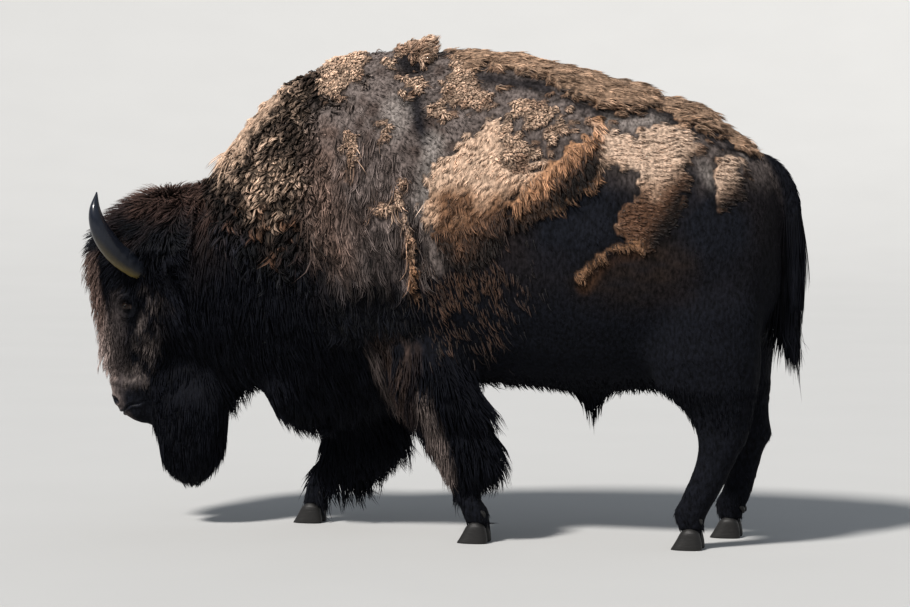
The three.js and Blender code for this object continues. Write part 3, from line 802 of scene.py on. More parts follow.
class Paint:
    """A material made of nodes; its finish is the shader that the surface ends in."""

    def __init__(self, name, **constants):
        self.material = bpy.data.materials.new(name)
        self.material.use_nodes = True
        self.tree = self.material.node_tree
        self.tree.nodes.clear()
        self.finish = self.tree.nodes.new("ShaderNodeBsdfPrincipled")
        output = self.tree.nodes.new("ShaderNodeOutputMaterial")
        self.tree.links.new(self.finish.outputs[0], output.inputs["Surface"])
        self.set(self.finish, {key.replace("_", " "): value for key, value in constants.items()})

    def set(self, node, values):
        for key, value in values.items():
            if isinstance(value, Value):
                self.tree.links.new(value.socket, node.inputs[key])
            else:
                node.inputs[key].default_value = value

    def node(self, kind, settings=None, values=None, output=0):
        """Adds a node: its settings first, then the values or links of its sockets."""
        node = self.tree.nodes.new(kind)
        for key, value in (settings or {}).items():
            if key == "stops":
                for _ in range(len(value) - 2):
                    node.color_ramp.elements.new(0.5)
                for element, (position, shade) in zip(node.color_ramp.elements, value):
                    element.position = position
                    element.color = (*shade, 1)
            else:
                setattr(node, key, value)
        self.set(node, values or {})
        return Value(self, node.outputs[output])

    def blend(self, factor, a, b, way="MIX"):
        """Mixes two colours."""
        settings = {"data_type": "RGBA", "blend_type": way}
        return self.node("ShaderNodeMix", settings, {0: factor, 6: a, 7: b}, output=2)

    def grain(self, size, detail=2.0, stretch=(1, 1, 1), output=0):
        """Noise over the object, in lumps of about a size in metres."""
        spot = self.node("ShaderNodeTexCoord", output=3)
        spot = self.node("ShaderNodeMapping", {}, {0: spot, 3: tuple(1 / s for s in stretch)})
        return self.node("ShaderNodeTexNoise", {}, {"Vector": spot, "Scale": 1 / size, "Detail": detail},
                         output=output)

    def stored(self, name, output=0):
        return self.node("ShaderNodeAttribute", {"attribute_name": name}, output=output)

    def finish_with(self, **values):
        self.set(self.finish, {key.replace("_", " "): value for key, value in values.items()})
        return self.material


hide_paint = Paint("hide_under_hair", Specular_IOR_Level=0.06)
nap = hide_paint.grain(0.010, 4.0, (1, 1, 2))
tufting = hide_paint.grain(0.02, 2.0)
skin_grain = hide_paint.node("ShaderNodeTexVoronoi", {"feature": "F1"}, {"Scale": 420.0})
bare_here = hide_paint.stored("bare_skin", output=2)
shade = hide_paint.node("ShaderNodeValToRGB", {"stops": ((0.32, (0.35,) * 3), (0.68, (1.55,) * 3))}, {0: nap})
hair_shade = hide_paint.blend(1.0, hide_paint.stored("hair_colour"), shade, "MULTIPLY")
relief = (nap * 0.7 + tufting * 0.5) * (1 - bare_here) + skin_grain * 0.25 * bare_here
bump = hide_paint.node("ShaderNodeBump", {}, {"Strength": 0.8, "Distance": 0.006, "Height": relief})
hide_finish = hide_paint.finish_with(Base_Color=hair_shade, Roughness=0.85 - 0.45 * bare_here, Normal=bump)
dress(hide, hide_finish, "dark_hair", *flesh)


# ---------------------------------------------------------------- how hair is laid on the hide
# Hair is laid in thin tapered tufts, rooted in the hide and following the way the coat grows. Neighbours
# draw together at their tips into locks. Each tuft takes the colour of the hide at its root, with painted
# shade darkening it near the root and painted light brightening it towards the tip.

corners = numbers(carved.loops, "vertex_index", 1, np.int32).reshape(-1, 3)
unwrap = numbers(carved.uv_layers["OFBake"].data, "uv", 2).reshape(-1, 3, 2)
hide_normal = normals_of(place)
first, second, third = (place[corners[:, k]] for k in range(3))
face_area = np.linalg.norm(np.cross(second - first, third - first), axis=1) / 2

UV_PATCH = 0.003                    # how much of the unwrap each tuft's own patch takes
FLOOR_GAP = 0.004                   # no tip hangs lower than this
STRAY = 0.024                       # nor does any stand farther out than this from the sides of the form
TOP_STRAY = 0.036                   # or than this over its top
roof, walls = np.array(cad_box[1]) + TOP_STRAY, np.array(cad_box[1]) + STRAY
CELL_CODE = np.array([1, 10007, 10007 * 10009])
CELL_TURN = np.array(Euler((0.7, 0.4, 0.9)).to_matrix())    # so that no rows show on the flat flanks
CELL_SHARE = 0.9                    # edge of the cell in which one root is kept, by the spacing
OVERSOWN = 1.8                      # roots are sown closer than wanted, because most cells then lose some


def spread(middle, share, count):
    """Random sizes about a middle value, each way by a share of it."""
    return middle * (1 + share * (2 * random.random(count) - 1))


class Roots:
    """Places on the hide where tufts grow, about a spacing apart, as densely as a mask on the points says."""

    def __init__(self, mask, spacing):
        wanted = mask[corners].mean(axis=1) * face_area / spacing ** 2 * OVERSOWN
        self.face = np.repeat(np.arange(len(corners)), random.poisson(wanted))
        a, b = np.sqrt(random.random(len(self.face))), random.random(len(self.face))
        self.weight = np.column_stack([1 - a, a * (1 - b), a * b])
        cell = np.floor(self.on(place) @ CELL_TURN / (spacing * CELL_SHARE)).astype(np.int64)
        _, kept = np.unique(cell @ CELL_CODE, return_index=True)
        self.face, self.weight = self.face[kept], self.weight[kept]
        self.count = len(kept)
        self.place = self.on(place)
        self.normal = unit(self.on(hide_normal))
        self.colour = self.on(colour)
        self.uv = (unwrap[self.face] * self.weight[..., None]).sum(axis=1)

    def on(self, values):
        """Values on the hide's points, read at the roots."""
        weight = self.weight if values.ndim == 1 else self.weight[..., None]
        return (values[corners[self.face]] * weight).sum(axis=1)

    def along(self, way):
        """Directions turned to lie in the hide at each root."""
        way = np.broadcast_to(way, self.place.shape)
        return unit(way - (way * self.normal).sum(axis=1, keepdims=True) * self.normal)

    def into_locks(self, size):
        """Each root's lock, where locks are about a size across, and how many locks there are."""
        order = random.permutation(self.count)
        cell = np.floor(self.place[order] @ CELL_TURN / size).astype(np.int64)
        _, leading = np.unique(cell @ CELL_CODE, return_index=True)
        tree = KDTree(len(leading))
        for index, leader in enumerate(order[leading]):
            tree.insert(self.place[leader], index)
        tree.balance()
        return np.array([tree.find(spot)[1] for spot in self.place], int), len(leading)


def lie_of(roots):
    """The way the coat grows: back and down the trunk, down neck and legs, out and down from the poll."""
    at = roots.place
    way = np.tile([0.8, 0.0, -0.55], (roots.count, 1))
    way = over(way, [0.42, 0.0, -0.9], between(at[:, 2], 1.35, 0.85))
    way = over(way, [0.12, 0.0, -1.0], between(at[:, 0], -0.20, -0.50))
    way = over(way, [0.12, 0.0, -1.0], between(at[:, 2], 0.60, 0.45))
    poll = np.array([-1.05, 0.0, 1.06])
    away = unit(at - poll) * [1.0, 1.2, 0.8]
    away[:, 2] -= between(at[:, 2], 1.15, 0.9) * 0.6
    on_head = between(at[:, 0], -0.86, -0.93) * between(at[:, 2], 0.42, 0.47)
    way = over(way, away, on_head)
    return roots.along(way + (noise_ways(at) - 0.5) * 0.5)


def noise_ways(at):
    """Three smooth random values at each place, so that the lie of the hair swirls a little."""
    return np.column_stack([noise(at + shift, 0.12) for shift in (0.0, 3.1, 7.7)])


def lay_tufts(name, finish, slot, roots, lie, length, width, segments, long_share=0.3, wide_share=0.3,
              lock=0.02, gather=0.6, rise=0.25, droop=0.6, sag=0.0, curl=0.0, turns=1.3, sway=0.2, blunt=0.6,
              flat=0.7, root_painted_shade=0.4, tip_painted_light=1.3, variety=0.25, tint=1.0, sink=0.003, travel=1.0):
    """Makes one piece of tufts, each painted from its root's colour; their sizes vary each way by a share."""
    count, t = roots.count, np.linspace(0, 1, segments + 1)
    length = length * spread(1, long_share, count)
    width = width * spread(1, wide_share, count) if wide_share else width
    own_lock, locks = roots.into_locks(lock)
    members = np.bincount(own_lock, minlength=locks)
    length, width, rise = (np.broadcast_to(size, count) for size in (length, width, rise))
    length = length * spread(1.0, variety, locks)[own_lock]

    def lock_mean(values):
        return np.column_stack([np.bincount(own_lock, column, locks) / members for column in values.T])

    def run(place, normal, lie, length, rise, phase, bend, curl):
        """The middle line of each tuft, from its root to its tip."""
        side, length = np.cross(normal, lie), length[:, None]
        angle = phase[:, None] + 2 * np.pi * turns * t
        aside = length * bend[:, None] * t ** 2 + curl * np.cos(angle) * np.sqrt(t)
        above = length * rise[:, None] * t * (1 - droop * t) - sink + curl * np.sin(angle) * np.sqrt(t)
        line = place[:, None] + (travel * length * t)[..., None] * lie[:, None]
        line = line + aside[..., None] * side[:, None] + above[..., None] * normal[:, None]
        line[..., 2] -= sag * length * t ** 2
        return line

    line = run(roots.place, roots.normal, lie, length, rise, random.random(count) * 2 * np.pi,
               sway * (random.random(count) - 0.5), curl * 0.3)
    sizes = lock_mean(np.column_stack([length, rise]))
    lead = run(lock_mean(roots.place), unit(lock_mean(roots.normal)), unit(lock_mean(lie)), sizes[:, 0],
               sizes[:, 1], random.random(locks) * 2 * np.pi, 2 * sway * (random.random(locks) - 0.5), curl)
    line = line + (gather * t ** 1.3)[:, None] * (lead[own_lock] - line)
    for axis in (0, 1):
        line[..., axis] = np.clip(line[..., axis], -walls[axis], walls[axis])
    line[..., 2] = np.clip(line[..., 2], FLOOR_GAP, roof[2])

    side = np.cross(roots.normal, lie)
    radius = width[:, None] / 2 * (1 - t[:-1]) ** blunt
    rings = []
    for spoke in range(3):
        turn = 2 * np.pi * (spoke / 3 + 0.25)
        off = radius[..., None] * (np.cos(turn) * side[:, None] + flat * np.sin(turn) * roots.normal[:, None])
        rings.append(line[:, :-1] + off)
    vertices = np.concatenate([np.stack(rings, axis=2).reshape(count, -1, 3), line[:, -1:]], axis=1)
    tip = 3 * segments
    faces = [(0, 2, 1)]
    for ring in range(segments - 1):
        for spoke in range(3):
            a, b = 3 * ring + spoke, 3 * ring + (spoke + 1) % 3
            faces += [(a, b, b + 3), (a, b + 3, a + 3)]
    faces += [(tip - 3 + spoke, tip - 3 + (spoke + 1) % 3, tip) for spoke in range(3)]
    indices = (np.array(faces)[None] + (np.arange(count) * (tip + 1))[:, None, None]).reshape(-1)

    level = np.append(np.repeat(t[:-1], 3), 1.0)
    across = np.append(np.tile([-0.5, 0.0, 0.5], segments), 0.0)
    tone = spread(1.0, variety, locks)[own_lock] * spread(1.0, variety, count) * tint
    # painted shade darkens each tuft towards its root and painted light brightens it towards its tip
    tone = tone[:, None] * (root_painted_shade + (tip_painted_light - root_painted_shade) * level)
    shades = roots.colour[:, None] * tone[..., None]
    uv = roots.uv[:, None] + UV_PATCH * np.column_stack([across, level - 0.5])[None]

    mesh = bpy.data.meshes.new(name)
    mesh.vertices.add(count * (tip + 1))
    mesh.vertices.foreach_set("co", vertices.ravel())
    mesh.loops.add(len(indices))
    mesh.loops.foreach_set("vertex_index", indices)
    mesh.polygons.add(len(indices) // 3)
    mesh.polygons.foreach_set("loop_start", np.arange(0, len(indices), 3))
    smooth_shaded(mesh)
    mesh.update(calc_edges=True)
    mesh.uv_layers.new(name="OFBake").data.foreach_set("uv", uv.reshape(-1, 2)[indices].ravel())
    paint_points(mesh, "hair_colour", shades.reshape(-1, 3))
    dress(set_up(name, mesh), finish, slot)


def hair_paint(name, rough, gloss, fine, down=0.0):
    """A finish for tufts: the stored colour, broken up by strands; down is a soft bloom of fine hair."""
    paint = Paint(name, Specular_IOR_Level=gloss, Sheen_Weight=down, Sheen_Roughness=0.6)
    strands = paint.grain(fine, 2.0)
    shade = paint.node("ShaderNodeValToRGB", {"stops": ((0.3, (0.65,) * 3), (0.7, (1.25,) * 3))}, {0: strands})
    bump = paint.node("ShaderNodeBump", {}, {"Strength": 0.5, "Distance": 0.002, "Height": strands})
    return paint.finish_with(
        Base_Color=paint.blend(1.0, paint.stored("hair_colour"), shade, "MULTIPLY"),
        Roughness=rough + 0.1 * strands, Normal=bump)


left_side, right_side = (place[:, 1] < 0).astype(float), (place[:, 1] >= 0).astype(float)
SIDES = (("left", left_side), ("right", right_side))


# ---------------------------------------------------------------- the mats of winter wool
# Shed underwool that still clings as felt. On ribs and loin it is crimped in fine ridges; elsewhere it has
# balled into knots, hangs in rusty tufts at its lower edge, or lies combed along the back.

wool_finish = hair_paint("winter_wool", 0.85, 0.08, 0.0025, down=0.06)
felted = felt * (1 - knots) * (1 - strip)
foot_of_ribs = between(rib_height, 1.22, 1.12) * rib_felt
shaggy = felted * np.clip(edge(rusty_share - 0.5, 0.5) + ledge_felt + foot_of_ribs, 0, 1)
for side_name, this_side in SIDES:
    roots = Roots(felted * (1 - shaggy) * this_side, 0.0062)
    # ridges of the crimp are painted lighter and its grooves darker: painted light and shade on the crimp
    ridge = 0.5 + 0.5 * crimp_at(roots.place)
    on_ribs = between(roots.place[:, 0], 0.60, 0.45)
    lie = roots.along(over(np.array([1.0, 0.0, -0.22]), [-0.45, 0.0, -0.85], on_ribs))
    lay_tufts(f"winter_wool_{side_name}", wool_finish, "coat", roots, lie, length=0.022, long_share=0.35,
              width=0.0054, segments=2, lock=0.014, gather=0.55, rise=0.22 + 0.4 * ridge, droop=0.7,
              sway=0.5, blunt=0.45, root_painted_shade=0.22, tip_painted_light=1.35, variety=0.26,
              tint=(0.42 + 0.66 * ridge) * (0.45 + 1.1 * noise(roots.place, 0.03)))
    roots = Roots(np.clip(shaggy + 0.30 * thinning, 0, 1) * this_side, 0.0078)
    roots.colour = over(roots.colour, RED_BROWN * 0.8, roots.on(thinning) * 0.8)
    on_ledge = roots.on(ledge_felt)
    lay_tufts(f"rusty_wool_{side_name}", wool_finish, "coat", roots, roots.along([0.35, 0, -0.9]),
              length=0.042 - 0.02 * on_ledge, long_share=0.35, width=0.005, segments=3, lock=0.02,
              gather=0.7, rise=0.6, droop=0.55, sway=0.6, root_painted_shade=0.18, tip_painted_light=1.45, variety=0.36,
              tint=0.5 + noise(roots.place, 0.035))
    roots = Roots(knots * this_side, 0.0056)
    lay_tufts(f"knotted_wool_{side_name}", wool_finish, "coat", roots, lie_of(roots), length=0.02,
              long_share=0.4, width=0.008, segments=2, lock=0.015, gather=0.6, rise=0.85, droop=0.6,
              curl=0.004, turns=0.8, sway=0.9, blunt=0.3, root_painted_shade=0.16, tip_painted_light=1.35, variety=0.36,
              tint=0.42 + 1.05 * noise(roots.place, 0.03), travel=0.7)

roots = Roots(strip, 0.0078)
lay_tufts("winter_wool_along_back", wool_finish, "coat", roots, roots.along([0.95, 0, -0.22]),
          length=0.046, width=0.0052, segments=2, lock=0.02, gather=0.65, rise=0.3, droop=0.85, sway=0.6,
          root_painted_shade=0.12, tip_painted_light=1.7, variety=0.45,
          tint=0.15 + 1.7 * noise(roots.place * [0.4, 1, 1], 0.03))

# the raised end of the loose flap runs out in ragged points
roots = Roots(edge(flap - 0.55, 0.2) * knots, 0.0060)
lay_tufts("loose_flap", wool_finish, "coat", roots, roots.along([1.0, 0, 0.35]), length=0.042,
          long_share=0.4, width=0.007, segments=3, lock=0.035, gather=0.75, rise=0.45, droop=0.2,
          sway=0.6, blunt=0.5, root_painted_shade=0.3, tip_painted_light=1.2, variety=0.35)


# ---------------------------------------------------------------- the cape
# Over the front of the hump the old coat is still whole. It has felted into curled knots as thick as a thumb,
# hanging in strings towards the neck, and has bleached to tan along its front.

old_coat_finish = hair_paint("old_coat", 0.80, 0.06, 0.0025, down=0.03)
for side_name, this_side in SIDES:
    roots = Roots(cape * this_side, 0.0092)
    hanging = between(roots.place[:, 2], 1.32, 1.00)
    lay_tufts(f"cape_{side_name}", old_coat_finish, "coat", roots, lie_of(roots),
              length=0.03 + 0.03 * hanging, long_share=0.4, width=0.0095, wide_share=0.35, segments=3,
              lock=0.025, gather=0.85, rise=1.15 - 0.6 * hanging, droop=0.65, sag=0.2, curl=0.007,
              turns=1.0, sway=0.9, blunt=0.3, root_painted_shade=0.02, tip_painted_light=1.7, variety=0.55,
              tint=0.12 + 1.7 * noise(roots.place, 0.035), travel=0.55)


# ---------------------------------------------------------------- the new coat
# New summer hair, dark and short, lies flat over hump, flank and quarters. It is longer down the shoulder,
# where it hangs in wavy streaks.

new_finish = hair_paint("new_coat", 0.70, 0.045, 0.002, down=0.02)
new_coat = trunk_soft * (1 - felt) * (1 - cape) * (1 - mane) * (1 - chaps)
shoulder = new_coat * edge(oval(-0.19, 1.05, 0.22, 0.40), 0.1)
for side_name, this_side in SIDES:
    roots = Roots(new_coat * (1 - shoulder) * this_side, 0.0088)
    fluffy = roots.on(woolly)
    lay_tufts(f"new_coat_{side_name}", new_finish, "coat", roots, lie_of(roots), length=0.02,
              long_share=0.35, width=0.0052, segments=1, lock=0.018, gather=0.6, rise=0.28 + 0.4 * fluffy,
              droop=0.5, root_painted_shade=0.7, tip_painted_light=1.5, variety=0.45,
              tint=0.5 + noise(roots.place, 0.022))
    roots = Roots(shoulder * this_side, 0.0090)
    lay_tufts(f"shoulder_hair_{side_name}", new_finish, "coat", roots, roots.along([0.1, 0, -1.0]),
              length=0.06, long_share=0.35, width=0.0055, segments=3, lock=0.026, gather=0.7, rise=0.36,
              droop=0.8, sway=0.8, curl=0.005, root_painted_shade=0.16, tip_painted_light=1.95, variety=0.6,
              tint=0.3 + 1.5 * noise(roots.place * [1, 1, 0.4], 0.03))


# ---------------------------------------------------------------- mane, bonnet, face, beard and chaps
# Long coarse hair, nearly black: a mane over neck and chest, a dense bonnet on the poll, shaggy hair down the
# forehead and bridge, a beard under chin and throat, and chaps down the forelegs to below the knee.

long_finish = hair_paint("long_dark_hair", 0.62, 0.055, 0.003)
for side_name, this_side in SIDES:
    roots = Roots(mane * (1 - chaps) * (1 - face) * (1 - crown) * (1 - beard) * this_side, 0.0112)
    under_throat = near(roots.place * [1, 0, 1], THROAT_NOTCH, 0.14)
    lay_tufts(f"mane_{side_name}", long_finish, "coat", roots, lie_of(roots),
              length=0.09 * (1 - 0.7 * under_throat), width=0.0074, segments=3, lock=0.027, gather=0.6,
              rise=0.32, droop=0.55, sag=0.2, sway=0.45, blunt=0.7, root_painted_shade=0.5, tip_painted_light=1.5,
              variety=0.25)
    roots = Roots(chaps * this_side, 0.0098)
    behind = between(roots.normal[:, 0], -0.3, 0.5)
    low = between(roots.place[:, 2], 0.34, 0.20)
    lie = roots.along(over(np.array([0.05, 0.0, -1.0]), [0.45, 0.0, -0.9], behind))
    lay_tufts(f"chaps_{side_name}", long_finish, "dark_hair", roots, lie,
              length=(0.085 + 0.012 * behind) * (1 - (0.35 + 0.2 * behind) * low), long_share=0.25,
              width=0.0064, segments=3, lock=0.022, gather=0.45,
              rise=(0.5 + 0.2 * behind) * (1 - 0.5 * low * behind), droop=0.45, sag=0.12, sway=0.5,
              curl=0.004, blunt=0.7, root_painted_shade=0.5, tip_painted_light=1.6, variety=0.22)

roots = Roots(crown, 0.0078)
lay_tufts("bonnet", old_coat_finish, "dark_hair", roots, lie_of(roots), length=0.058, long_share=0.25,
          width=0.0054, segments=3, lock=0.017, gather=0.4, rise=1.05, droop=0.35, curl=0.004, sway=0.5,
          blunt=0.6, root_painted_shade=0.3, tip_painted_light=1.8, variety=0.25)

HORN_ROOT = (-1.085, 0.145, 0.972)
off_eye = np.clip((distance(place, EYE) - 0.0235) / 0.005, 0, 1)
brow_length = brow_soft * np.interp(height, [0.50, 0.58, 0.66, 0.80, 1.0], [0.010, 0.028, 0.060, 0.055, 0.070])
side_length = np.interp(height, [0.42, 0.52, 0.66, 1.0], [0.010, 0.018, 0.045, 0.060])
jowl_length = 0.070 * between(ahead, 1.16, 1.06) * between(height, 0.40, 0.56)
face_length = most(brow_length, side_length, jowl_length)
face_length = face_length * np.clip((distance(place, EYE) - 0.015) / 0.08, 0.12, 1)
face_length = face_length * np.clip(from_nose / 0.15, 0.16, 1)
bristle = edge(0.020 - face_length, 0.016)
roots = Roots(face * (1 - bare) * off_eye * (1 - bristle), 0.0088)
upright = np.maximum(roots.on(brow_soft), roots.on(near(folded(place), HORN_ROOT, 0.10)))
lay_tufts("face_hair", long_finish, "dark_hair", roots, lie_of(roots), length=roots.on(face_length),
          width=np.clip(roots.on(face_length) * 0.13, 0.003, 0.006), wide_share=0, segments=3, lock=0.02,
          gather=0.55, rise=0.4 + 0.65 * upright, droop=0.5, sway=0.5, root_painted_shade=0.4, tip_painted_light=1.6,
          variety=0.28)
roots = Roots(face * (1 - bare) * off_eye * bristle, 0.0048)
lay_tufts("muzzle_hair", long_finish, "dark_hair", roots, lie_of(roots), length=roots.on(face_length),
          width=0.0024, segments=1, lock=0.01, gather=0.3, rise=0.5, root_painted_shade=0.3, tip_painted_light=2.0,
          variety=0.4)

roots = Roots(beard * (1 - between(face, 0.6, 1.0)), 0.0092)
beard_length = np.interp(roots.place[:, 2], [0.20, 0.34, 0.60], [0.038, 0.078, 0.072])
lay_tufts("beard_hair", long_finish, "dark_hair", roots,
          unit(roots.along([0.03, 0, -1.0]) + [0, 0, -0.2]), length=beard_length, width=0.0068,
          segments=3, lock=0.026, gather=0.5, rise=0.22, droop=0.6, sag=0.2, sway=0.4, blunt=0.7,
          root_painted_shade=0.4, tip_painted_light=1.5)


# ---------------------------------------------------------------- legs, tail and belly
# Short close hair on the shanks, ears and dock of the tail, a switch of long strands below it, and a fringe
# with a hanging tuft along the belly.

roots = Roots(np.clip(shank + ears, 0, 1), 0.0085)
foot = between(roots.place[:, 2], 0.15, 0.09)
lay_tufts("shank_hair", new_finish, "dark_hair", roots, lie_of(roots), length=0.022 + 0.012 * foot,
          long_share=0.35, width=0.0045, segments=1, lock=0.018, gather=0.5, rise=0.34, root_painted_shade=0.5,
          tip_painted_light=2.6, variety=0.5)

roots = Roots(np.clip(tail - switch, 0, 1), 0.0085)
lay_tufts("tail_hair", long_finish, "dark_hair", roots, roots.along([0.05, 0, -1.0]), length=0.038,
          width=0.005, segments=3, lock=0.015, gather=0.5, rise=0.2, droop=0.7)

roots = Roots(switch, 0.0075)
reach = np.clip(roots.place[:, 2] - 0.655, 0.02, 0.22)
lay_tufts("tail_switch_hair", long_finish, "dark_hair", roots,
          unit(roots.along([0.02, 0, -1.0]) + [0, 0, -0.3]), length=0.9 * reach, long_share=0.15,
          width=0.006, segments=5, lock=0.02, gather=0.4, rise=0.1, droop=0.7, sag=0.05, sway=0.12)

roots = Roots(switch * between(place[:, 2], 1.0, 0.85) * (place[:, 0] > 1.27), 0.018)
lay_tufts("tail_wisps", long_finish, "dark_hair", roots,
          unit(roots.along([0.15, 0, -1.0]) + [0.05, 0, -0.3]), length=0.14, long_share=0.25,
          width=0.0032, segments=5, lock=0.035, gather=0.5, rise=0.2, droop=0.6, sag=0.2, sway=0.3)

sheath = soft_part("sheath")
belly = np.clip(trunk_soft * edge(0.60 - place[:, 2], 0.03) * (place[:, 0] > 0.1) + sheath, 0, 1)
roots = Roots(belly, 0.0135)
lay_tufts("belly_fringe", long_finish, "dark_hair", roots,
          unit(roots.along([0.1, 0, -1.0]) + [0, 0, -0.5]), length=0.028 + 0.035 * roots.on(sheath),
          long_share=0.35, width=0.006, segments=2, lock=0.022, gather=0.5, rise=0.2, droop=0.3, sag=0.2)


# ---------------------------------------------------------------- the horns
# Hollow black sheaths over bony cores, thick and ringed at the base and polished towards the point. The lower
# edge near the base, where it faces down and forward, is a dull olive.

HORN_LINE = (                       # x, y, z and radius along the left horn, mirrored to +Y
    (-1.040, 0.040, 0.930, 0.030), (-1.072, 0.120, 0.958, 0.042), (-1.115, 0.195, 0.996, 0.043),
    (-1.157, 0.246, 1.040, 0.0425), (-1.189, 0.284, 1.095, 0.040), (-1.210, 0.304, 1.150, 0.0325),
    (-1.221, 0.304, 1.205, 0.0215), (-1.221, 0.284, 1.268, 0.0025),
)
HORN_SIDES, HORN_STEPS = 36, 110


def smooth_line(points, steps):
    """Points on a smooth curve through others, evenly by their order."""
    points = np.array(points)
    ends = np.vstack([2 * points[0] - points[1], points, 2 * points[-1] - points[-2]])
    out = []
    for at in np.linspace(0, len(points) - 1, steps + 1):
        i = min(int(at), len(points) - 2)
        t = at - i
        a, b, c, d = ends[i:i + 4]
        out.append(0.5 * (2 * b + (c - a) * t + (2 * a - 5 * b + 4 * c - d) * t ** 2
                          + (3 * b - a - 3 * c + d) * t ** 3))
    return np.array(out)


def tube(name, rings):
    """A closed piece through rings of points, capped at both ends."""
    sides, count = len(rings[0]), len(rings)
    faces = [tuple(range(sides))[::-1]]
    for row in range(0, (count - 1) * sides, sides):
        for k in range(sides):
            after = (k + 1) % sides
            faces.append((row + k, row + after, row + sides + after, row + sides + k))
    faces.append(tuple(range((count - 1) * sides, count * sides)))
    mesh = bpy.data.meshes.new(name)
    mesh.from_pydata(np.vstack(rings).tolist(), [], faces)
    smooth_shaded(mesh)
    return set_up(name, mesh)


def swept(name, line, radius_at, sides):
    """A closed round body along a line; radius_at gives the radius at each step and angle."""
    way = unit(np.gradient(line, axis=0))
    up = np.array([0.0, 1.0, 0.0])
    rings = []
    for step, (centre, ahead) in enumerate(zip(line, way)):
        up = up - (up @ ahead) * ahead
        up = up / np.linalg.norm(up)
        across = np.cross(ahead, up)
        angle = 2 * np.pi * np.arange(sides) / sides
        radius = radius_at(step, angle)[:, None]
        rings.append(centre + radius * (np.cos(angle)[:, None] * up + np.sin(angle)[:, None] * across))
    piece = tube(name, rings)
    reworked(piece.data, lambda work: bmesh.ops.recalc_face_normals(work, faces=work.faces))
    return piece


horn_paint = Paint("horn_sheath", Specular_IOR_Level=0.20, Coat_Roughness=0.12)
rings_at_base = horn_paint.grain(0.010, 3.0, (3, 3, 0.6))
streaks = horn_paint.grain(0.012, 4.0, (0.5, 0.5, 3))
base_share = horn_paint.stored("near_base", output=2)
dark = horn_paint.blend(streaks, (0.004, 0.005, 0.008, 1), (0.014, 0.017, 0.026, 1))
olive_share = horn_paint.stored("worn", output=2) * (0.4 + streaks)
horn_colour = horn_paint.blend(olive_share, dark, (0.120, 0.088, 0.022, 1))
horn_bump = horn_paint.node("ShaderNodeBump", {}, {
    "Strength": 0.5, "Distance": 0.002, "Height": rings_at_base * base_share + 0.25 * streaks})
horn_finish = horn_paint.finish_with(
    Base_Color=horn_colour, Roughness=0.22 + 0.30 * base_share, Coat_Weight=0.25 - 0.2 * base_share,
    Normal=horn_bump)

for side_name, mirror in (("left", -1), ("right", 1)):
    rows = smooth_line(HORN_LINE, HORN_STEPS)
    line = rows[:, :3] * [1, mirror, 1]
    share = np.linspace(0, 1, len(rows))

    def horn_radius(step, angle):
        ripple = 0.0009 * np.sin(step * 0.9) * np.clip(1.1 - 1.8 * share[step], 0, 1)
        ripple = ripple * (1 + 0.4 * np.sin(3 * angle + step * 0.1))
        return rows[step, 3] * (1 + 0.03 * np.cos(2 * angle)) + ripple

    horn = swept(f"horn_sheath_{side_name}", line, horn_radius, HORN_SIDES)
    horn_place, horn_normal = numbers(horn.data.vertices, "co", 3), numbers(horn.data.vertices, "normal", 3)
    near_base = between(horn_place[:, 2], 1.13, 0.98)
    # a dull olive on the faces near the base that turn down and forward
    worn = near_base * between(-horn_normal[:, 2] - 0.4 * horn_normal[:, 0], 0.2, 0.9)
    paint_points(horn.data, "near_base", near_base)
    paint_points(horn.data, "worn", worn)
    dress(horn, horn_finish, "horn", f"{side_name}_horn")


# ---------------------------------------------------------------- the eyes
# Glass eyes, dark brown with a level oval pupil, set deep behind the lids.

eye_paint = Paint("glass_eye", Roughness=0.10, Specular_IOR_Level=0.2)
iris_distance = eye_paint.stored("iris", output=2)
veins = eye_paint.grain(0.0012, 3.0)
iris = eye_paint.node("ShaderNodeValToRGB", {"stops": (
    (0.0, (0.001, 0.001, 0.001)), (0.42, (0.001, 0.001, 0.001)), (0.50, (0.010, 0.0045, 0.002)),
    (0.85, (0.005, 0.0025, 0.0015)), (1.0, (0.012, 0.009, 0.008)))}, {0: iris_distance + 0.06 * veins})
eye_finish = eye_paint.finish_with(Base_Color=iris)

for side_name, mirror in (("left", -1), ("right", 1)):
    flip = np.array([1, mirror, 1])
    work = bmesh.new()
    bmesh.ops.create_uvsphere(work, u_segments=48, v_segments=32, radius=EYEBALL_RADIUS)
    mesh = bpy.data.meshes.new(f"eye_{side_name}")
    work.to_mesh(mesh)
    work.free()
    ball_points = numbers(mesh.vertices, "co", 3)
    looking = ball_points @ (outward * flip)
    cornea = 0.0022 * np.clip((looking / EYEBALL_RADIUS - 0.75) / 0.25, 0, 1) ** 1.5
    ball_points = ball_points * (1 + cornea / EYEBALL_RADIUS)[:, None]
    fore, up = ball_points @ (forward * flip), ball_points @ (upward * flip)
    paint_points(mesh, "iris", np.clip(np.hypot(fore / 0.016, up / 0.0125), 0, 1) + (looking < 0))
    mesh.vertices.foreach_set("co", (ball_points + EYE * flip).ravel())
    smooth_shaded(mesh)
    eye = set_up(f"eye_{side_name}", mesh)
    dress(eye, eye_finish, "eye", f"{side_name}_eye")


# ---------------------------------------------------------------- the hooves
# Each foot stands on two cloven claws of grey-black horn, ringed as they grew, rounded at the toe and worn
# flat underneath. Two small dewclaws hang behind the fetlock.

hoof_paint = Paint("hoof_horn", Specular_IOR_Level=0.3)
growth = hoof_paint.grain(0.005, 3.0, (6, 6, 0.5))
grit = hoof_paint.grain(0.004, 4.0)
hoof_colour = hoof_paint.blend(growth, (0.003, 0.0029, 0.003, 1), (0.014, 0.013, 0.0125, 1))
hoof_bump = hoof_paint.node("ShaderNodeBump", {}, {
    "Strength": 0.6, "Distance": 0.0015, "Height": growth + 0.4 * grit})
hoof_finish = hoof_paint.finish_with(Base_Color=hoof_colour, Roughness=0.42 + 0.25 * grit, Normal=hoof_bump)

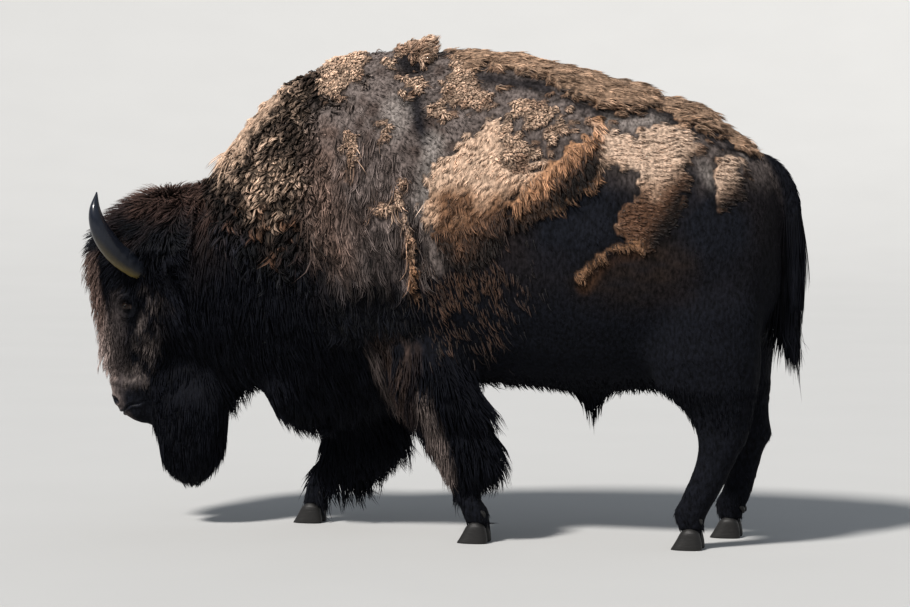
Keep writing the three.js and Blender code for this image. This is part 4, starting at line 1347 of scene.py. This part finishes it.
HOOF_SIDES = 40
HOOF_LEVELS = np.append(np.linspace(0, 0.84, 13), np.linspace(0.90, 1.20, 8))
outline = np.linspace(0, 2 * np.pi, HOOF_SIDES, endpoint=False)
for name in sorted(nodes):
    if not name.endswith("claw"):
        continue
    low_corner, high_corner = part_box(name)
    size, corner = np.array(high_corner - low_corner), np.array(low_corner)
    rings = []
    for level in HOOF_LEVELS:
        # the wall leans back from the toe, bulges at the heel, and closes in a dome under the hair
        closing = np.sqrt(max(1 - (max(level - 0.85, 0) / 0.36) ** 2, 0.02)) - 0.05 * np.exp(-level / 0.03)
        start, end = 0.34 * level ** 0.85, 1 - 0.10 * level ** 2
        along = np.sign(np.cos(outline)) * np.abs(np.cos(outline)) ** 0.9 * closing
        aside = np.sign(np.sin(outline)) * np.abs(np.sin(outline)) ** 0.75 * closing
        narrow = (1 - 0.08 * level) * np.where(along < 0, 1 - 0.30 * np.abs(along) ** 3, 1)
        growth_ring = 1 + 0.010 * np.sin(level * 34)
        rings.append(corner + size * np.column_stack([
            start + (end - start) * (0.5 + 0.5 * along), 0.5 + 0.5 * aside * narrow * growth_ring,
            np.full(HOOF_SIDES, level)]))
    dress(tube(name.replace("claw", "hoof"), rings), hoof_finish, "hoof", name)

DEWCLAW_SPREAD = 0.024              # each side of the middle of the foot
DEWCLAW_RADIUS = 0.0095
for name in sorted(nodes):
    if not name.endswith("pastern"):
        continue
    low_corner, high_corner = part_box(name)
    foot_middle = (low_corner[1] + high_corner[1]) / 2
    for side_name, aside in (("outer", -DEWCLAW_SPREAD), ("inner", DEWCLAW_SPREAD)):
        heel = np.array([high_corner[0] - 0.038, foot_middle + aside, low_corner[2] + 0.052])
        line = smooth_line([heel, heel + [0.012, 0, -0.010], heel + [0.016, 0, -0.026]], 10)
        taper = np.sqrt(np.clip(1.02 - np.linspace(0, 1, len(line)) ** 2, 0, 1))
        dewclaw = swept(name.replace("pastern", f"{side_name}_dewclaw"), line,
                        lambda step, angle: DEWCLAW_RADIUS * taper[step] * (1 + 0.15 * np.cos(2 * angle)), 20)
        dress(dewclaw, hoof_finish, "hoof")


# ---------------------------------------------------------------- the studio
# A plain pale floor that curves up into a pale wall all round, one large soft lamp high to the front and
# left, and weak light from everywhere else.

FLAT_REACH, SWEEP_REACH, WALL_HEIGHT = 12.0, 34.0, 13.0
FLOOR_SIDES, FLOOR_ROWS = 96, 40
turns = np.linspace(0, 2 * np.pi, FLOOR_SIDES, endpoint=False)
floor_points = []
for share in np.linspace(0, 1, FLOOR_ROWS):
    reach, rise = FLAT_REACH + (SWEEP_REACH - FLAT_REACH) * share, WALL_HEIGHT * share ** 3
    floor_points += [(reach * np.cos(a), reach * np.sin(a), rise) for a in turns]
floor_faces = [tuple(range(FLOOR_SIDES))]
for row in range(0, (FLOOR_ROWS - 1) * FLOOR_SIDES, FLOOR_SIDES):
    for k in range(FLOOR_SIDES):
        after = (k + 1) % FLOOR_SIDES
        floor_faces.append((row + k, row + FLOOR_SIDES + k, row + FLOOR_SIDES + after, row + after))
floor_mesh = bpy.data.meshes.new("floor")
floor_mesh.from_pydata(floor_points, [], floor_faces)
smooth_shaded(floor_mesh)
floor = set_up("floor", floor_mesh)
floor_paint = Paint("pale_floor", Roughness=0.9, Specular_IOR_Level=0.1)
floor_mesh.materials.append(floor_paint.finish_with(
    Base_Color=floor_paint.blend(floor_paint.grain(0.8), (0.37, 0.37, 0.367, 1), (0.39, 0.39, 0.387, 1))))

world = bpy.data.worlds.new("studio")
bpy.context.scene.world = world
world.use_nodes = True
world.node_tree.nodes["Background"].inputs["Color"].default_value = (0.80, 0.89, 1.0, 1)
world.node_tree.nodes["Background"].inputs["Strength"].default_value = 0.45

key = bpy.data.lights.new("key", "SUN")
key.energy = 6.0
key.angle = 0.16                    # a broad lamp, so that shadows have soft edges
key.color = (1, 0.965, 0.92)
key_lamp = set_up("key", key)
key_lamp.rotation_mode = "QUATERNION"
key_lamp.rotation_quaternion = Vector((0.42, 0.78, -1.0)).to_track_quat("-Z", "Y")

TURN = np.radians(14.0)             # how far the camera stands towards the animal's tail
AIM_X, CAMERA_DISTANCE, CAMERA_HEIGHT = 0.075, 11.0, 1.553
CAMERA_DIP = np.radians(3.618)
CAMERA_LENS, FILM_WIDTH = 117.93, 36    # millimetres
view = bpy.data.cameras.new("camera")
view.lens = CAMERA_LENS
view.sensor_width = FILM_WIDTH
camera = set_up("camera", view)
camera.location = (AIM_X + CAMERA_DISTANCE * np.sin(TURN), -CAMERA_DISTANCE * np.cos(TURN), CAMERA_HEIGHT)
camera.rotation_euler = (np.pi / 2 - CAMERA_DIP, 0, TURN)
bpy.context.scene.camera = camera
bpy.context.scene.view_settings.view_transform = "Standard"
